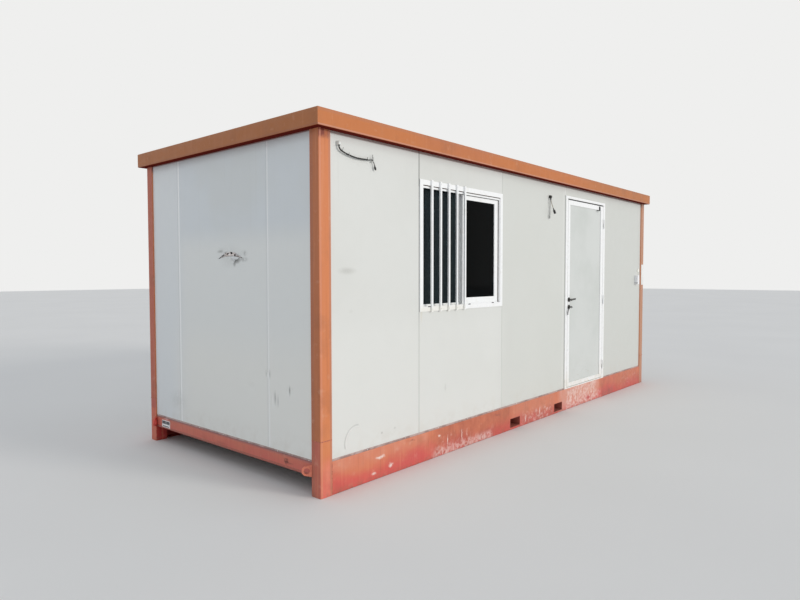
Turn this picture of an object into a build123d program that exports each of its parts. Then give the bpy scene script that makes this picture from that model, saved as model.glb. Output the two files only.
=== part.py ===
"""Portable site cabin: a welded steel frame with sandwich panel walls, one window and one door.

Sizes are in millimetres. The origin is on the ground under the centre of the cabin, +X runs along
the long wall, the wall with the window and the door faces -Y, and +Z is up. Distances called
"from the left" are measured on the frame, from the left end as seen from outside.
"""
import math
import os

from build123d import *

os.makedirs("parts", exist_ok=True)

# Overall size, over the roof edge
cabin_length = 6058
cabin_width = 2438
cabin_height = 2591

# Roof edge, a folded gutter profile
eave_overhang = 55
fascia_height = 118
gutter_reach = 108
gutter_web_height = 72
gutter_seat = 30
fascia_return = 26

# Folded steel of the frame
steel = 3
fold_radius = 5
post_front_width = 104
post_end_width = 91
post_corner_radius = 9
post_plate = 8
weld_height = 385
weld_width = 3
weld_depth = 1
rail_height = 232
rail_flange = 62
end_beam_height = 100
end_beam_recess = 8
end_beam_flange = 55
joist_height = 80
joist_flange = 40
joist_count = 9
joist_lip = 12

# Fork pockets through the base
pocket_width = 180
pocket_height = 83
pocket_pitch = 908
pocket_bottom = 23
pocket_gap = 0.5

# Lashing lugs at the foot of each post
lug_hole = 42
lug_outer = 68
lug_ring_length = 14
lug_plate = 10
lug_root_height = 83
lug_reach = 35
lug_level = 176
lug_angle = 46
lug_inset = 1.5

# Wall panels
wall_recess = 11
wall_thickness = 40
panel_gap = 0.5
panel_bevel = 2
tongue_length = 10
tongue_thickness = 12
panel_pitch = 1230
end_seams = (525, 1758)
flashing_height = 14
flashing_depth = 6
sheet = 1.5

# Torn skin on the left end
tear_centre = 1284
tear_level = 1629
tear_length = 340
tear_rise = 54
tear_lower_rise = 22
tear_depth = 7

# Floor, ceiling and roof
deck_thickness = 18
ceiling_thickness = 40
fit_gap = 0.5
purlin_flange = 45
purlin_count = 3
roof_sheet = 1
rib_height = 30
rib_pitch = 250
rib_top = 60
rib_slope = 20
casing = 1.5

# Window
window_left = 1055
window_width = 1223
window_height = 1047
window_below_soffit = 215
window_seam_left = 5
window_seam_right = 2
window_lap = 26
window_face = 40
window_proud = 8
window_wall = 3
track_height = 22
track_rib = 4
sash_past_middle = 8.5
sash_right_gap = 56
sash_bottom_gap = 39
sash_top_gap = 66
sash_stile = 57
sash_top_rail = 36
sash_bottom_rail = 56
sash_depth = 22
sash_setback = 12
light_past_middle = 23.5
light_stile = 61
light_meeting_stile = 43
light_rail = 25
light_depth = 14
light_setback = 38
glass = 5
glass_rebate = 8
bar_first = 143
bar_pitch = 114.5
bar_count = 5
bar_width = 20
bar_depth = 14
bar_over = 5

# Door
door_left = 3583
door_width = 1046
door_below_soffit = 103
door_seam = 11
door_lap = 22
jamb_face = 48
head_face = 28
frame_proud = 8
stop_height = 13
sill_height = 12
leaf_gap = 6.5
leaf_head_gap = 14
leaf_sill_gap = 6
leaf_thickness = 38
leaf_lock_stile = 48
leaf_hinge_stile = 68
leaf_top_rail = 51
leaf_bottom_rail = 44
infill_thickness = 24
infill_rebate = 10
hinge_low_inset = 156
hinge_top_inset = 210
hinge_middle = 1200
hinge_length = 108
hinge_radius = 8
hinge_pin_radius = 5
hinge_clearance = 0.3
hinge_leaf = 26
hinge_plate = 3

# Door furniture
lever_level = 1226
lever_backset = 27
lever_length = 100
lever_standoff = 32
lever_width = 18
lever_thickness = 10
lever_rise = 6
spindle_radius = 7
rose_radius = 25
inner_rose_radius = 16
rose_thickness = 7
spindle_clearance = 0.6
cylinder_drop = 81
cylinder_radius = 9
cylinder_proud = 4
key_length = 22
key_bow = 24
key_eye = 5
key_shank = 8
key_thickness = 2.2
fob_reach = 50
fob_drop = 87
fob_bow_reach = 34
fob_bow_drop = 32
fob_width = 12
fob_thickness = 4
fob_standoff = 2
stay_from_hinge = 136
stay_drop = 34
stay_plate_width = 34
stay_plate_height = 42
stay_plate_thickness = 4
stay_rod = 7
stay_radius = 26
stay_foot = 62
stay_sweep = 110

# Fittings on the front wall, placed from the right end of the frame
socket_from_right = 289
socket_bottom = 1372
socket_width = 62
socket_height = 121
socket_depth = 40
cap_from_right = 180
cap_level = 1558
cap_radius = 22
cap_depth = 9

# Cable outlets and hook high on the front wall, with drops measured from the roof edge
outlet_width = 20
outlet_height = 26
outlet_depth = 27
outlet_bevel = 7
left_outlet = (178, 88)
door_outlet = (3206, 165)
hook_left = 505
hook_drop = 160
hook_rod = 6
hook_reach = 26
hook_rise = 36
hook_bend = 8

# Cables, whose route points are given from the left, down from the roof edge and out from the wall
left_cable_diameter = 6
door_cable_diameter = 7
cable_sides = 8
plug_sides = 16
arc_share = 0.45
left_cable_route = [
    (178, 88, 17), (178, 104, 17), (190, 119, 17), (224, 133, 16), (285, 150, 15), (352, 159, 15),
    (420, 158, 15), (472, 151, 14), (498, 144, 13), (514, 149, 13), (523, 165, 14), (528, 182, 15),
]
grey_cable_route = [
    (3200, 165, 17), (3200, 182, 17), (3198, 205, 16.5), (3196, 236, 15.5), (3195, 271, 14.5),
    (3193, 309, 14), (3192, 346, 13.5),
]
beige_cable_route = [
    (3211, 165, 17), (3211, 182, 17), (3213, 203, 19), (3217, 226, 23), (3222, 250, 29),
    (3228, 273, 35),
]
left_plug_steps = [(8, 4.5), (20, 7.5), (6, 5.5)]
grey_plug_steps = [(8, 5), (26, 7)]
black_plug_steps = [(14, 5), (8, 8), (38, 12)]

# Worked out from the sizes above
frame_length = cabin_length - 2 * eave_overhang
frame_width = cabin_width - 2 * eave_overhang
left_x, right_x = -frame_length / 2, frame_length / 2
front_y, back_y = -frame_width / 2, frame_width / 2
soffit_level = cabin_height - fascia_height
wall_height = soffit_level - rail_height
inner_face = wall_recess + wall_thickness
room_length = frame_length - 2 * inner_face
room_width = frame_width - 2 * inner_face
deck_top = rail_height + deck_thickness
rail_length = frame_length - 2 * post_front_width
beam_length = frame_width - 2 * post_end_width
window_bottom = soffit_level - window_below_soffit - window_height
window_right = window_left + window_width
window_middle = window_left + window_width / 2
door_top = soffit_level - door_below_soffit
front_seams = (window_left - window_seam_left, window_right + window_seam_right, door_left - door_seam)


def save(piece, name):
    """Labels a finished piece and writes it as one STEP file."""
    piece.part.label = name
    export_step(piece.part, f"parts/{name}.step")


def folded(points, thickness, radius=0):
    """Draws the section of a folded sheet along its middle line, with sharp folds if there is no radius."""
    with BuildLine() as middle:
        if radius:
            FilletPolyline(*points, radius=radius)
        else:
            Polyline(*points)
    trace(middle.line, line_width=thickness)


def wall_plane(side, level):
    """Gives a level plane whose X runs along a wall from its left and whose Y runs into the wall."""
    corners = {
        "front": ((left_x, front_y + wall_recess), (1, 0, 0)),
        "back": ((right_x, back_y - wall_recess), (-1, 0, 0)),
        "left": ((left_x + wall_recess, back_y), (0, -1, 0)),
        "right": ((right_x - wall_recess, front_y), (0, 1, 0)),
    }
    (x, y), along = corners[side]
    return Plane(origin=(x, y, level), x_dir=along, z_dir=(0, 0, 1))


# Base rails, channels that stand on the ground between the posts
pocket_level = pocket_bottom + pocket_height / 2
with BuildPart() as base_rails:
    with BuildSketch(Plane.YZ):
        for side in (-1, 1):
            face = side * (frame_width / 2 - steel / 2)
            tip = side * (frame_width / 2 - rail_flange)
            top, bottom = rail_height - steel / 2, steel / 2
            folded([(tip, top), (face, top), (face, bottom), (tip, bottom)], steel, fold_radius)
    extrude(amount=rail_length / 2, both=True)
    with BuildSketch(Plane.XZ):
        with Locations((-pocket_pitch / 2, pocket_level), (pocket_pitch / 2, pocket_level)):
            Rectangle(pocket_width + 2 * (steel + pocket_gap), pocket_height + 2 * (steel + pocket_gap))
    extrude(amount=frame_width, both=True, mode=Mode.SUBTRACT)
save(base_rails, "base_rails")

# Fork pockets, tubes that run through both rails
with BuildPart() as fork_pockets:
    with BuildSketch(Plane.XZ):
        with Locations((-pocket_pitch / 2, pocket_level), (pocket_pitch / 2, pocket_level)):
            Rectangle(pocket_width + 2 * steel, pocket_height + 2 * steel)
            Rectangle(pocket_width, pocket_height, mode=Mode.SUBTRACT)
    extrude(amount=frame_width / 2, both=True)
save(fork_pockets, "fork_pockets")

# End beams, raised off the ground between the posts
beam_bottom = rail_height - end_beam_height
with BuildPart() as end_beams:
    with BuildSketch(Plane.XZ):
        for side in (-1, 1):
            face = side * (frame_length / 2 - end_beam_recess - steel / 2)
            tip = side * (frame_length / 2 - end_beam_recess - end_beam_flange)
            top, bottom = rail_height - steel / 2, beam_bottom + steel / 2
            folded([(tip, top), (face, top), (face, bottom), (tip, bottom)], steel, fold_radius)
    extrude(amount=beam_length / 2, both=True)
save(end_beams, "end_beams")

# Floor joists, lipped channels that carry the deck between the rails
joist_pitch = rail_length / (joist_count + 1)
joist_length = frame_width - 2 * rail_flange
joist_top = rail_height - steel / 2
joist_bottom = rail_height - joist_height + steel / 2
with BuildPart() as floor_joists:
    with BuildSketch(Plane.XZ):
        for index in range(joist_count):
            x = joist_pitch * (index + 1) - rail_length / 2
            tip = x + joist_flange - steel
            folded(
                [(tip, joist_top - joist_lip), (tip, joist_top), (x, joist_top), (x, joist_bottom),
                 (tip, joist_bottom), (tip, joist_bottom + joist_lip)],
                steel,
            )
    extrude(amount=joist_length / 2, both=True)
save(floor_joists, "floor_joists")

# Corner posts, closed sections with a foot plate, a head plate and the weld line of the base corner
corners = ((-1, -1), (1, -1), (-1, 1), (1, 1))


def post_outlines():
    """Draws the outside of the four posts, each with its outer edge rounded."""
    for x_side, y_side in corners:
        centre = (
            x_side * (frame_length - post_front_width) / 2,
            y_side * (frame_width - post_end_width) / 2,
        )
        with Locations(centre):
            outline = Rectangle(post_front_width, post_end_width)
        outer = outline.vertices().sort_by(Axis((0, 0, 0), (x_side, y_side, 0)))[-1]
        fillet(outer, radius=post_corner_radius)


with BuildPart() as corner_posts:
    with BuildSketch():
        post_outlines()
    extrude(amount=soffit_level)
    with BuildSketch(Plane.XY.offset(post_plate)):
        post_outlines()
        offset(amount=-steel, mode=Mode.REPLACE)
    extrude(amount=soffit_level - 2 * post_plate, mode=Mode.SUBTRACT)
    with BuildSketch(Plane.XY.offset(weld_height)):
        post_outlines()
        offset(amount=-weld_depth, mode=Mode.SUBTRACT)
    extrude(amount=weld_width, mode=Mode.SUBTRACT)
save(corner_posts, "corner_posts")

# Lashing lugs, a ring on a tapered plate that is welded to the inner edge of each post
with BuildPart() as lashing_lugs:
    for x_side, y_side in corners:
        root = (x_side * (frame_length / 2 - lug_inset), y_side * (frame_width / 2 - post_end_width))
        outward = Vector(x_side, 0, 0).rotate(Axis.Z, -x_side * y_side * (90 - lug_angle))
        lug_plane = Plane(origin=(*root, lug_level), x_dir=outward, z_dir=outward.cross(Vector(0, 0, 1)))
        with BuildSketch(lug_plane):
            with BuildLine():
                Polyline(
                    (0, -lug_root_height / 2), (lug_reach, -lug_outer / 2),
                    (lug_reach, lug_outer / 2), (0, lug_root_height / 2), close=True,
                )
            make_face()
        extrude(amount=lug_plate / 2, both=True)
        with BuildSketch(lug_plane):
            with Locations((lug_reach, 0)):
                Circle(lug_outer / 2)
        extrude(amount=lug_ring_length / 2, both=True)
        with BuildSketch(lug_plane):
            with Locations((lug_reach, 0)):
                Circle(lug_hole / 2)
        extrude(amount=lug_ring_length, both=True, mode=Mode.SUBTRACT)
    with BuildSketch():
        post_outlines()
    extrude(amount=rail_height, mode=Mode.SUBTRACT)
save(lashing_lugs, "lashing_lugs")

# Roof edge, one gutter profile for each side, mitred at the corners
lip_level = cabin_height - steel / 2
floor_level = soffit_level + steel / 2
web_level = soffit_level + gutter_web_height - steel / 2
gutter_section = [
    (eave_overhang - fascia_return, lip_level),
    (eave_overhang - steel / 2, lip_level),
    (eave_overhang - steel / 2, floor_level),
    (-gutter_reach, floor_level),
    (-gutter_reach, web_level),
    (-gutter_reach - gutter_seat, web_level),
]
long_edges = {"roof_beam_front": -1, "roof_beam_back": 1}
for name, side in long_edges.items():
    with BuildPart() as roof_beam:
        with BuildSketch(Plane.YZ):
            middle_line = [(side * (frame_width / 2 + out), level) for out, level in gutter_section]
            folded(middle_line, steel, fold_radius)
        extrude(amount=cabin_length / 2, both=True)
        for end in (-1, 1):
            mitre_foot = (end * cabin_length / 2, side * cabin_width / 2, 0)
            split(bisect_by=Plane(origin=mitre_foot, z_dir=(end, -side, 0)), keep=Keep.BOTTOM)
    save(roof_beam, name)

short_edges = {"roof_beam_left": -1, "roof_beam_right": 1}
for name, side in short_edges.items():
    with BuildPart() as roof_beam:
        with BuildSketch(Plane.XZ):
            middle_line = [(side * (frame_length / 2 + out), level) for out, level in gutter_section]
            folded(middle_line, steel, fold_radius)
        extrude(amount=cabin_width / 2, both=True)
        for end in (-1, 1):
            mitre_foot = (side * cabin_length / 2, end * cabin_width / 2, 0)
            split(bisect_by=Plane(origin=mitre_foot, z_dir=(-side, end, 0)), keep=Keep.BOTTOM)
    save(roof_beam, name)

# Roof purlins, channels between the end gutters
purlin_reach = frame_length / 2 - gutter_reach - gutter_seat - fit_gap
purlin_pitch = (frame_width - 2 * gutter_reach) / (purlin_count + 1)
purlin_bottom = soffit_level + steel / 2
purlin_top = soffit_level + gutter_web_height - steel / 2
with BuildPart() as roof_purlins:
    with BuildSketch(Plane.YZ):
        for index in range(purlin_count):
            y = purlin_pitch * (index + 1 - (purlin_count + 1) / 2)
            folded(
                [(y - purlin_flange, purlin_bottom), (y, purlin_bottom),
                 (y, purlin_top), (y + purlin_flange, purlin_top)],
                steel,
            )
    extrude(amount=purlin_reach, both=True)
save(roof_purlins, "roof_purlins")

# Roof sheet, trapezoidal ribs that run from gutter to gutter
sheet_level = soffit_level + gutter_web_height + roof_sheet / 2
sheet_half_length = frame_length / 2 - gutter_reach + gutter_seat / 2
sheet_half_width = frame_width / 2 - gutter_reach + gutter_seat
rib_count = int(2 * sheet_half_length / rib_pitch)
rib_step = 2 * sheet_half_length / rib_count
rib_foot = (rib_step - rib_top - 2 * rib_slope) / 2
ridge = [(-sheet_half_length, sheet_level)]
for index in range(rib_count):
    x = index * rib_step - sheet_half_length
    ridge += [
        (x + rib_foot, sheet_level),
        (x + rib_foot + rib_slope, sheet_level + rib_height),
        (x + rib_foot + rib_slope + rib_top, sheet_level + rib_height),
        (x + rib_foot + 2 * rib_slope + rib_top, sheet_level),
    ]
ridge.append((sheet_half_length, sheet_level))
with BuildPart() as roof:
    with BuildSketch(Plane.XZ):
        with BuildLine():
            Polyline(*ridge)
        trace(line_width=roof_sheet)
    extrude(amount=sheet_half_width, both=True)
save(roof, "roof_sheet")


def room_outline(gap):
    """Draws the plan of the room, less a gap all round, with the four posts cut out of its corners."""
    Rectangle(room_length - 2 * gap, room_width - 2 * gap)
    for x_side, y_side in corners:
        with Locations((
            x_side * (frame_length - post_front_width - casing) / 2,
            y_side * (frame_width - post_end_width - casing) / 2,
        )):
            Rectangle(
                post_front_width + casing + 2 * gap, post_end_width + casing + 2 * gap,
                mode=Mode.SUBTRACT,
            )


# Floor deck and ceiling, boards that fill the plan of the room
with BuildPart() as floor_deck:
    with BuildSketch(Plane.XY.offset(rail_height)):
        room_outline(fit_gap)
    extrude(amount=deck_thickness)
save(floor_deck, "floor_deck")

with BuildPart() as ceiling:
    with BuildSketch(Plane.XY.offset(soffit_level - ceiling_thickness)):
        room_outline(fit_gap)
    extrude(amount=ceiling_thickness)
save(ceiling, "ceiling")

# Corner casings, angles that box in the posts inside the room
casing_bottom = deck_top
casing_height = soffit_level - ceiling_thickness - deck_top
with BuildPart() as corner_casings:
    with BuildSketch(Plane.XY.offset(casing_bottom)):
        for x_side, y_side in corners:
            with Locations((
                x_side * (frame_length - post_front_width - casing) / 2,
                y_side * (frame_width - post_end_width - casing) / 2,
            )):
                Rectangle(post_front_width + casing, post_end_width + casing)
            with Locations((
                x_side * (frame_length - post_front_width) / 2,
                y_side * (frame_width - post_end_width) / 2,
            )):
                Rectangle(post_front_width, post_end_width, mode=Mode.SUBTRACT)
        Rectangle(room_length, room_width, mode=Mode.INTERSECT)
    extrude(amount=casing_height)
save(corner_casings, "corner_casings")


def panel_outline(start, end, groove, tongue):
    """Draws the plan of a sandwich panel, with a groove at its start or a tongue at its end."""
    first = start + (panel_gap if groove else 0)
    with Locations((first, 0)):
        Rectangle(end - first, wall_thickness, align=Align.MIN)
    bevelled = []
    corners_seen = vertices().filter_by_position(Axis.Y, -1, 1)
    if groove:
        bevelled += corners_seen.sort_by(Axis.X)[:1]
    if tongue:
        bevelled += corners_seen.sort_by(Axis.X)[-1:]
    if bevelled:
        chamfer(bevelled, length=panel_bevel)
    if tongue:
        with Locations((end, wall_thickness / 2)):
            Rectangle(tongue_length, tongue_thickness, align=(Align.MIN, Align.CENTER))
    if groove:
        with Locations((first, wall_thickness / 2)):
            Rectangle(
                tongue_length + panel_gap, tongue_thickness + 2 * panel_gap,
                align=(Align.MIN, Align.CENTER), mode=Mode.SUBTRACT,
            )


def wall_panels(side, edges):
    """Makes the panels of one wall, from post to post, as solids that don't touch."""
    for index, (start, end) in enumerate(zip(edges, edges[1:])):
        with BuildSketch(wall_plane(side, rail_height)) as plan:
            panel_outline(start, end, groove=index > 0, tongue=index < len(edges) - 2)
        extrude(plan.sketch, amount=wall_height)


# Front wall: plain panels, the window panel, and the pieces beside and over the door
door_right = door_left + door_width
door_cut_left = door_left + door_lap
door_cut_right = door_right - door_lap
door_cut_top = door_top - door_lap
last_front_edge = frame_length - post_front_width
front_panels = {
    "front_panel_left": (post_front_width, front_seams[0], False, True),
    "front_panel_window": (front_seams[0], front_seams[1], True, True),
    "front_panel_middle": (front_seams[1], front_seams[2], True, True),
    "front_panel_right": (door_cut_right, last_front_edge, False, False),
}
for name, (start, end, groove, tongue) in front_panels.items():
    with BuildPart() as panel:
        with BuildSketch(wall_plane("front", rail_height)):
            panel_outline(start, end, groove, tongue)
        extrude(amount=wall_height)
        if name == "front_panel_window":
            with BuildSketch(wall_plane("front", window_bottom + window_lap)):
                with Locations((window_left + window_lap, -wall_thickness)):
                    Rectangle(window_width - 2 * window_lap, 3 * wall_thickness, align=Align.MIN)
            extrude(amount=window_height - 2 * window_lap, mode=Mode.SUBTRACT)
    save(panel, name)

with BuildPart() as panels_at_door:
    with BuildSketch(wall_plane("front", rail_height)):
        panel_outline(front_seams[2], door_cut_left, True, False)
    extrude(amount=wall_height)
    with BuildSketch(wall_plane("front", door_cut_top)) as over_door:
        panel_outline(door_cut_left + panel_gap, door_cut_right - panel_gap, False, False)
    extrude(over_door.sketch, amount=soffit_level - door_cut_top)
save(panels_at_door, "front_panels_at_door")

# Back wall and right end, with the same panels and no openings
back_edges = [post_front_width]
while back_edges[-1] < frame_length - panel_pitch:
    back_edges.append(front_seams[0] + (len(back_edges) - 1) * panel_pitch)
back_edges.append(frame_length - post_front_width)
with BuildPart() as back_wall_panels:
    wall_panels("back", back_edges)
save(back_wall_panels, "back_wall_panels")

end_edges = (post_end_width, *end_seams, frame_width - post_end_width)
with BuildPart() as right_end_panels:
    wall_panels("right", [frame_width - edge for edge in reversed(end_edges)])
save(right_end_panels, "right_end_panels")

# Left end, whose middle panel has its skin torn open
left_panels = {
    "left_end_panel_back": (end_edges[0], end_edges[1], False, True),
    "left_end_panel_middle": (end_edges[1], end_edges[2], True, True),
    "left_end_panel_front": (end_edges[2], end_edges[3], True, False),
}
tear_place = (left_x + wall_recess, back_y - tear_centre, tear_level)
tear_plane = Plane(origin=tear_place, x_dir=(0, -1, 0), z_dir=(-1, 0, 0))
for name, (start, end, groove, tongue) in left_panels.items():
    with BuildPart() as panel:
        with BuildSketch(wall_plane("left", rail_height)):
            panel_outline(start, end, groove, tongue)
        extrude(amount=wall_height)
        if name == "left_end_panel_middle":
            with BuildSketch(tear_plane):
                with BuildLine():
                    ThreePointArc((-tear_length / 2, 0), (0, tear_rise), (tear_length / 2, 0))
                    ThreePointArc((-tear_length / 2, 0), (0, tear_lower_rise), (tear_length / 2, 0))
                make_face()
            extrude(amount=-tear_depth, mode=Mode.SUBTRACT)
    save(panel, name)

# Base flashing, an angle that covers the foot of each wall between the posts
with BuildPart() as base_flashing:
    flashing_runs = {
        "front": (post_front_width, frame_length - post_front_width),
        "back": (post_front_width, frame_length - post_front_width),
        "left": (post_end_width, frame_width - post_end_width),
        "right": (post_end_width, frame_width - post_end_width),
    }
    for side, (start, end) in flashing_runs.items():
        with BuildSketch(wall_plane(side, rail_height)):
            with Locations((start, 0)):
                Rectangle(end - start, flashing_depth, align=(Align.MIN, Align.MAX))
        extrude(amount=flashing_height)
        with BuildSketch(wall_plane(side, rail_height + sheet)):
            with Locations((start, -sheet)):
                Rectangle(end - start, flashing_depth, align=(Align.MIN, Align.MAX))
        extrude(amount=flashing_height, mode=Mode.SUBTRACT)
    with BuildSketch(wall_plane("front", rail_height)):
        with Locations((door_left - panel_gap, 0)):
            Rectangle(door_width + 2 * panel_gap, 2 * flashing_depth, align=(Align.MIN, Align.MAX))
    extrude(amount=flashing_height, mode=Mode.SUBTRACT)
save(base_flashing, "base_flashing")


def front_plane(depth):
    """Gives a plane along the front wall: X from the left, Y up, and depth into the wall from its skin."""
    return Plane(origin=(left_x, front_y + wall_recess + depth, 0), x_dir=(1, 0, 0), z_dir=(0, -1, 0))


def ring(left, bottom, width, height, face, front, back):
    """Adds a rectangular ring between two depths, with a face of one width or left, right, bottom, top."""
    face_left, face_right, face_bottom, face_top = face if isinstance(face, tuple) else (face,) * 4
    with BuildSketch(front_plane(back)) as outline:
        with Locations((left, bottom)):
            Rectangle(width, height, align=Align.MIN)
        with Locations((left + face_left, bottom + face_bottom)):
            Rectangle(
                width - face_left - face_right, height - face_bottom - face_top,
                align=Align.MIN, mode=Mode.SUBTRACT,
            )
    extrude(outline.sketch, amount=back - front)


# Window frame: a face ring over the skin, a lining through the wall, and two tracks
lining_left = window_left + window_lap + panel_gap
lining_bottom = window_bottom + window_lap + panel_gap
lining_width = window_width - 2 * (window_lap + panel_gap)
lining_height = window_height - 2 * (window_lap + panel_gap)
lining_face = window_face - window_lap - panel_gap
lining_depth = light_setback + light_depth + track_rib
with BuildPart() as window_frame:
    ring(window_left, window_bottom, window_width, window_height, window_face, -window_proud, 0)
    ring(lining_left, lining_bottom, lining_width, lining_height, window_wall, -window_proud / 2, lining_depth)
    ring(
        lining_left, lining_bottom, lining_width, lining_height,
        (lining_face, lining_face, window_wall, track_height + lining_face),
        0, track_rib,
    )
    ring(
        lining_left, lining_bottom, lining_width, lining_height, lining_face,
        sash_setback + sash_depth, sash_setback + sash_depth + track_rib - panel_gap,
    )
    ring(
        lining_left, lining_bottom, lining_width, lining_height, lining_face,
        light_setback + light_depth, light_setback + light_depth + track_rib,
    )
save(window_frame, "window_frame")

# Fixed light on the left, in the inner track
light_left = lining_left + window_wall + fit_gap
light_bottom = lining_bottom + window_wall + fit_gap
light_width = window_middle + light_past_middle - light_left
light_height = lining_height - 2 * (window_wall + fit_gap)
with BuildPart() as window_light:
    ring(
        light_left, light_bottom, light_width, light_height,
        (light_stile, light_meeting_stile, light_rail, light_rail),
        light_setback + fit_gap, light_setback + light_depth - fit_gap,
    )
    with BuildSketch(front_plane(light_setback + (light_depth + glass) / 2 + fit_gap)):
        with Locations((light_left + light_stile - glass_rebate, light_bottom + light_rail - glass_rebate)):
            Rectangle(
                light_width - light_stile - light_meeting_stile + 2 * glass_rebate,
                light_height - 2 * light_rail + 2 * glass_rebate, align=Align.MIN,
            )
    extrude(amount=glass + 2 * fit_gap, mode=Mode.SUBTRACT)
save(window_light, "window_fixed_frame")


def pane(left, bottom, width, height, middle):
    """Makes one sheet of glass centred on a depth."""
    with BuildSketch(front_plane(middle + glass / 2)) as outline:
        with Locations((left, bottom)):
            Rectangle(width, height, align=Align.MIN)
    extrude(outline.sketch, amount=glass)


# Sliding sash on the right, in the outer track
sash_x = window_middle - sash_past_middle
sash_z = window_bottom + sash_bottom_gap
sash_width = window_right - sash_right_gap - sash_x
sash_height = window_height - sash_bottom_gap - sash_top_gap
sash_middle = sash_setback + sash_depth / 2
with BuildPart() as window_sash:
    ring(
        sash_x, sash_z, sash_width, sash_height,
        (sash_stile, sash_stile, sash_bottom_rail, sash_top_rail),
        sash_setback, sash_setback + sash_depth - fit_gap,
    )
    with BuildSketch(front_plane(sash_middle + glass / 2 + fit_gap)):
        with Locations((sash_x + sash_stile - glass_rebate, sash_z + sash_bottom_rail - glass_rebate)):
            Rectangle(
                sash_width - 2 * sash_stile + 2 * glass_rebate,
                sash_height - sash_bottom_rail - sash_top_rail + 2 * glass_rebate, align=Align.MIN,
            )
    extrude(amount=glass + 2 * fit_gap, mode=Mode.SUBTRACT)
save(window_sash, "window_sash")

# Panes, each held in the groove of its frame
grip = glass_rebate - fit_gap
with BuildPart() as window_panes:
    pane(
        sash_x + sash_stile - grip, sash_z + sash_bottom_rail - grip,
        sash_width - 2 * sash_stile + 2 * grip, sash_height - sash_bottom_rail - sash_top_rail + 2 * grip,
        sash_middle,
    )
    pane(
        light_left + light_stile - grip, light_bottom + light_rail - grip,
        light_width - light_stile - light_meeting_stile + 2 * grip, light_height - 2 * light_rail + 2 * grip,
        light_setback + light_depth / 2,
    )
save(window_panes, "window_panes")

# Window bars, upright bars screwed over the left half of the frame
with BuildPart() as window_bars:
    with BuildSketch(front_plane(-window_proud)):
        for index in range(bar_count):
            with Locations((window_left + bar_first + index * bar_pitch, window_bottom - bar_over)):
                Rectangle(bar_width, window_height + 2 * bar_over, align=(Align.CENTER, Align.MIN))
    extrude(amount=bar_depth)
save(window_bars, "window_bars")

# Door frame: face, lining, stop and threshold
door_height = door_top - rail_height
frame_lining_left = door_cut_left + panel_gap
frame_lining_width = door_width - 2 * (door_lap + panel_gap)
frame_lining_height = door_height - door_lap - panel_gap
stop_front = leaf_thickness - frame_proud + fit_gap
lining_jamb = jamb_face - door_lap - panel_gap
lining_head = head_face - door_lap - panel_gap
stop_left = lining_jamb + stop_height
stop_head = lining_head + leaf_head_gap + stop_height
with BuildPart() as door_frame:
    ring(door_left, rail_height, door_width, door_height, (jamb_face, jamb_face, 0, head_face), -frame_proud, 0)
    ring(
        frame_lining_left, rail_height, frame_lining_width, frame_lining_height,
        (lining_jamb, lining_jamb, 0, lining_head),
        -frame_proud / 2, inner_face - wall_recess,
    )
    ring(
        frame_lining_left, rail_height, frame_lining_width, frame_lining_height,
        (stop_left, stop_left, sill_height, stop_head),
        stop_front, inner_face - wall_recess,
    )
    with BuildSketch(front_plane(inner_face - wall_recess)):
        with Locations((frame_lining_left, rail_height)):
            Rectangle(frame_lining_width, sill_height, align=Align.MIN)
    extrude(amount=inner_face - wall_recess + frame_proud)
save(door_frame, "door_frame")

# Door leaf: a profile frame round an infill panel, shut in the frame
leaf_left = door_left + jamb_face + leaf_gap
leaf_width = door_width - 2 * (jamb_face + leaf_gap)
leaf_bottom = rail_height + sill_height + leaf_sill_gap
leaf_top = door_top - head_face - leaf_head_gap
leaf_height = leaf_top - leaf_bottom
leaf_front = -frame_proud
leaf_back = leaf_front + leaf_thickness
leaf_middle = (leaf_front + leaf_back) / 2
lever_x = leaf_left + lever_backset
with BuildPart() as leaf_frame:
    ring(
        leaf_left, leaf_bottom, leaf_width, leaf_height,
        (leaf_lock_stile, leaf_hinge_stile, leaf_bottom_rail, leaf_top_rail), leaf_front, leaf_back,
    )
    with BuildSketch(front_plane(leaf_middle + infill_thickness / 2 + fit_gap)):
        rebate_corner = (leaf_left + leaf_lock_stile - infill_rebate, leaf_bottom + leaf_bottom_rail - infill_rebate)
        with Locations(rebate_corner):
            Rectangle(
                leaf_width - leaf_lock_stile - leaf_hinge_stile + 2 * infill_rebate,
                leaf_height - leaf_bottom_rail - leaf_top_rail + 2 * infill_rebate, align=Align.MIN,
            )
    extrude(amount=infill_thickness + 2 * fit_gap, mode=Mode.SUBTRACT)
    with BuildSketch(front_plane(leaf_back)):
        with Locations((lever_x, lever_level)):
            Circle(spindle_radius + spindle_clearance)
    extrude(amount=leaf_thickness, mode=Mode.SUBTRACT)
save(leaf_frame, "door_leaf_frame")

infill_grip = infill_rebate - fit_gap
with BuildPart() as infill:
    with BuildSketch(front_plane(leaf_middle + infill_thickness / 2)):
        with Locations((leaf_left + leaf_lock_stile - infill_grip, leaf_bottom + leaf_bottom_rail - infill_grip)):
            Rectangle(
                leaf_width - leaf_lock_stile - leaf_hinge_stile + 2 * infill_grip,
                leaf_height - leaf_bottom_rail - leaf_top_rail + 2 * infill_grip, align=Align.MIN,
            )
    extrude(amount=infill_thickness)
save(infill, "door_leaf_panel")

# Hinges: the lower knuckle and pin on the frame, the upper knuckle on the leaf
hinge_x = leaf_left + leaf_width + leaf_gap / 2
hinge_depth = leaf_front - hinge_radius - hinge_plate
knuckle = hinge_length / 2
hinge_levels = (leaf_bottom + hinge_low_inset, hinge_middle, leaf_top - hinge_top_inset)


def hinge_centre(level):
    """Gives the level plane of a hinge, with its origin on the hinge's axis."""
    return Plane(origin=(left_x + hinge_x, front_y + wall_recess + hinge_depth, level), z_dir=(0, 0, 1))


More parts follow.
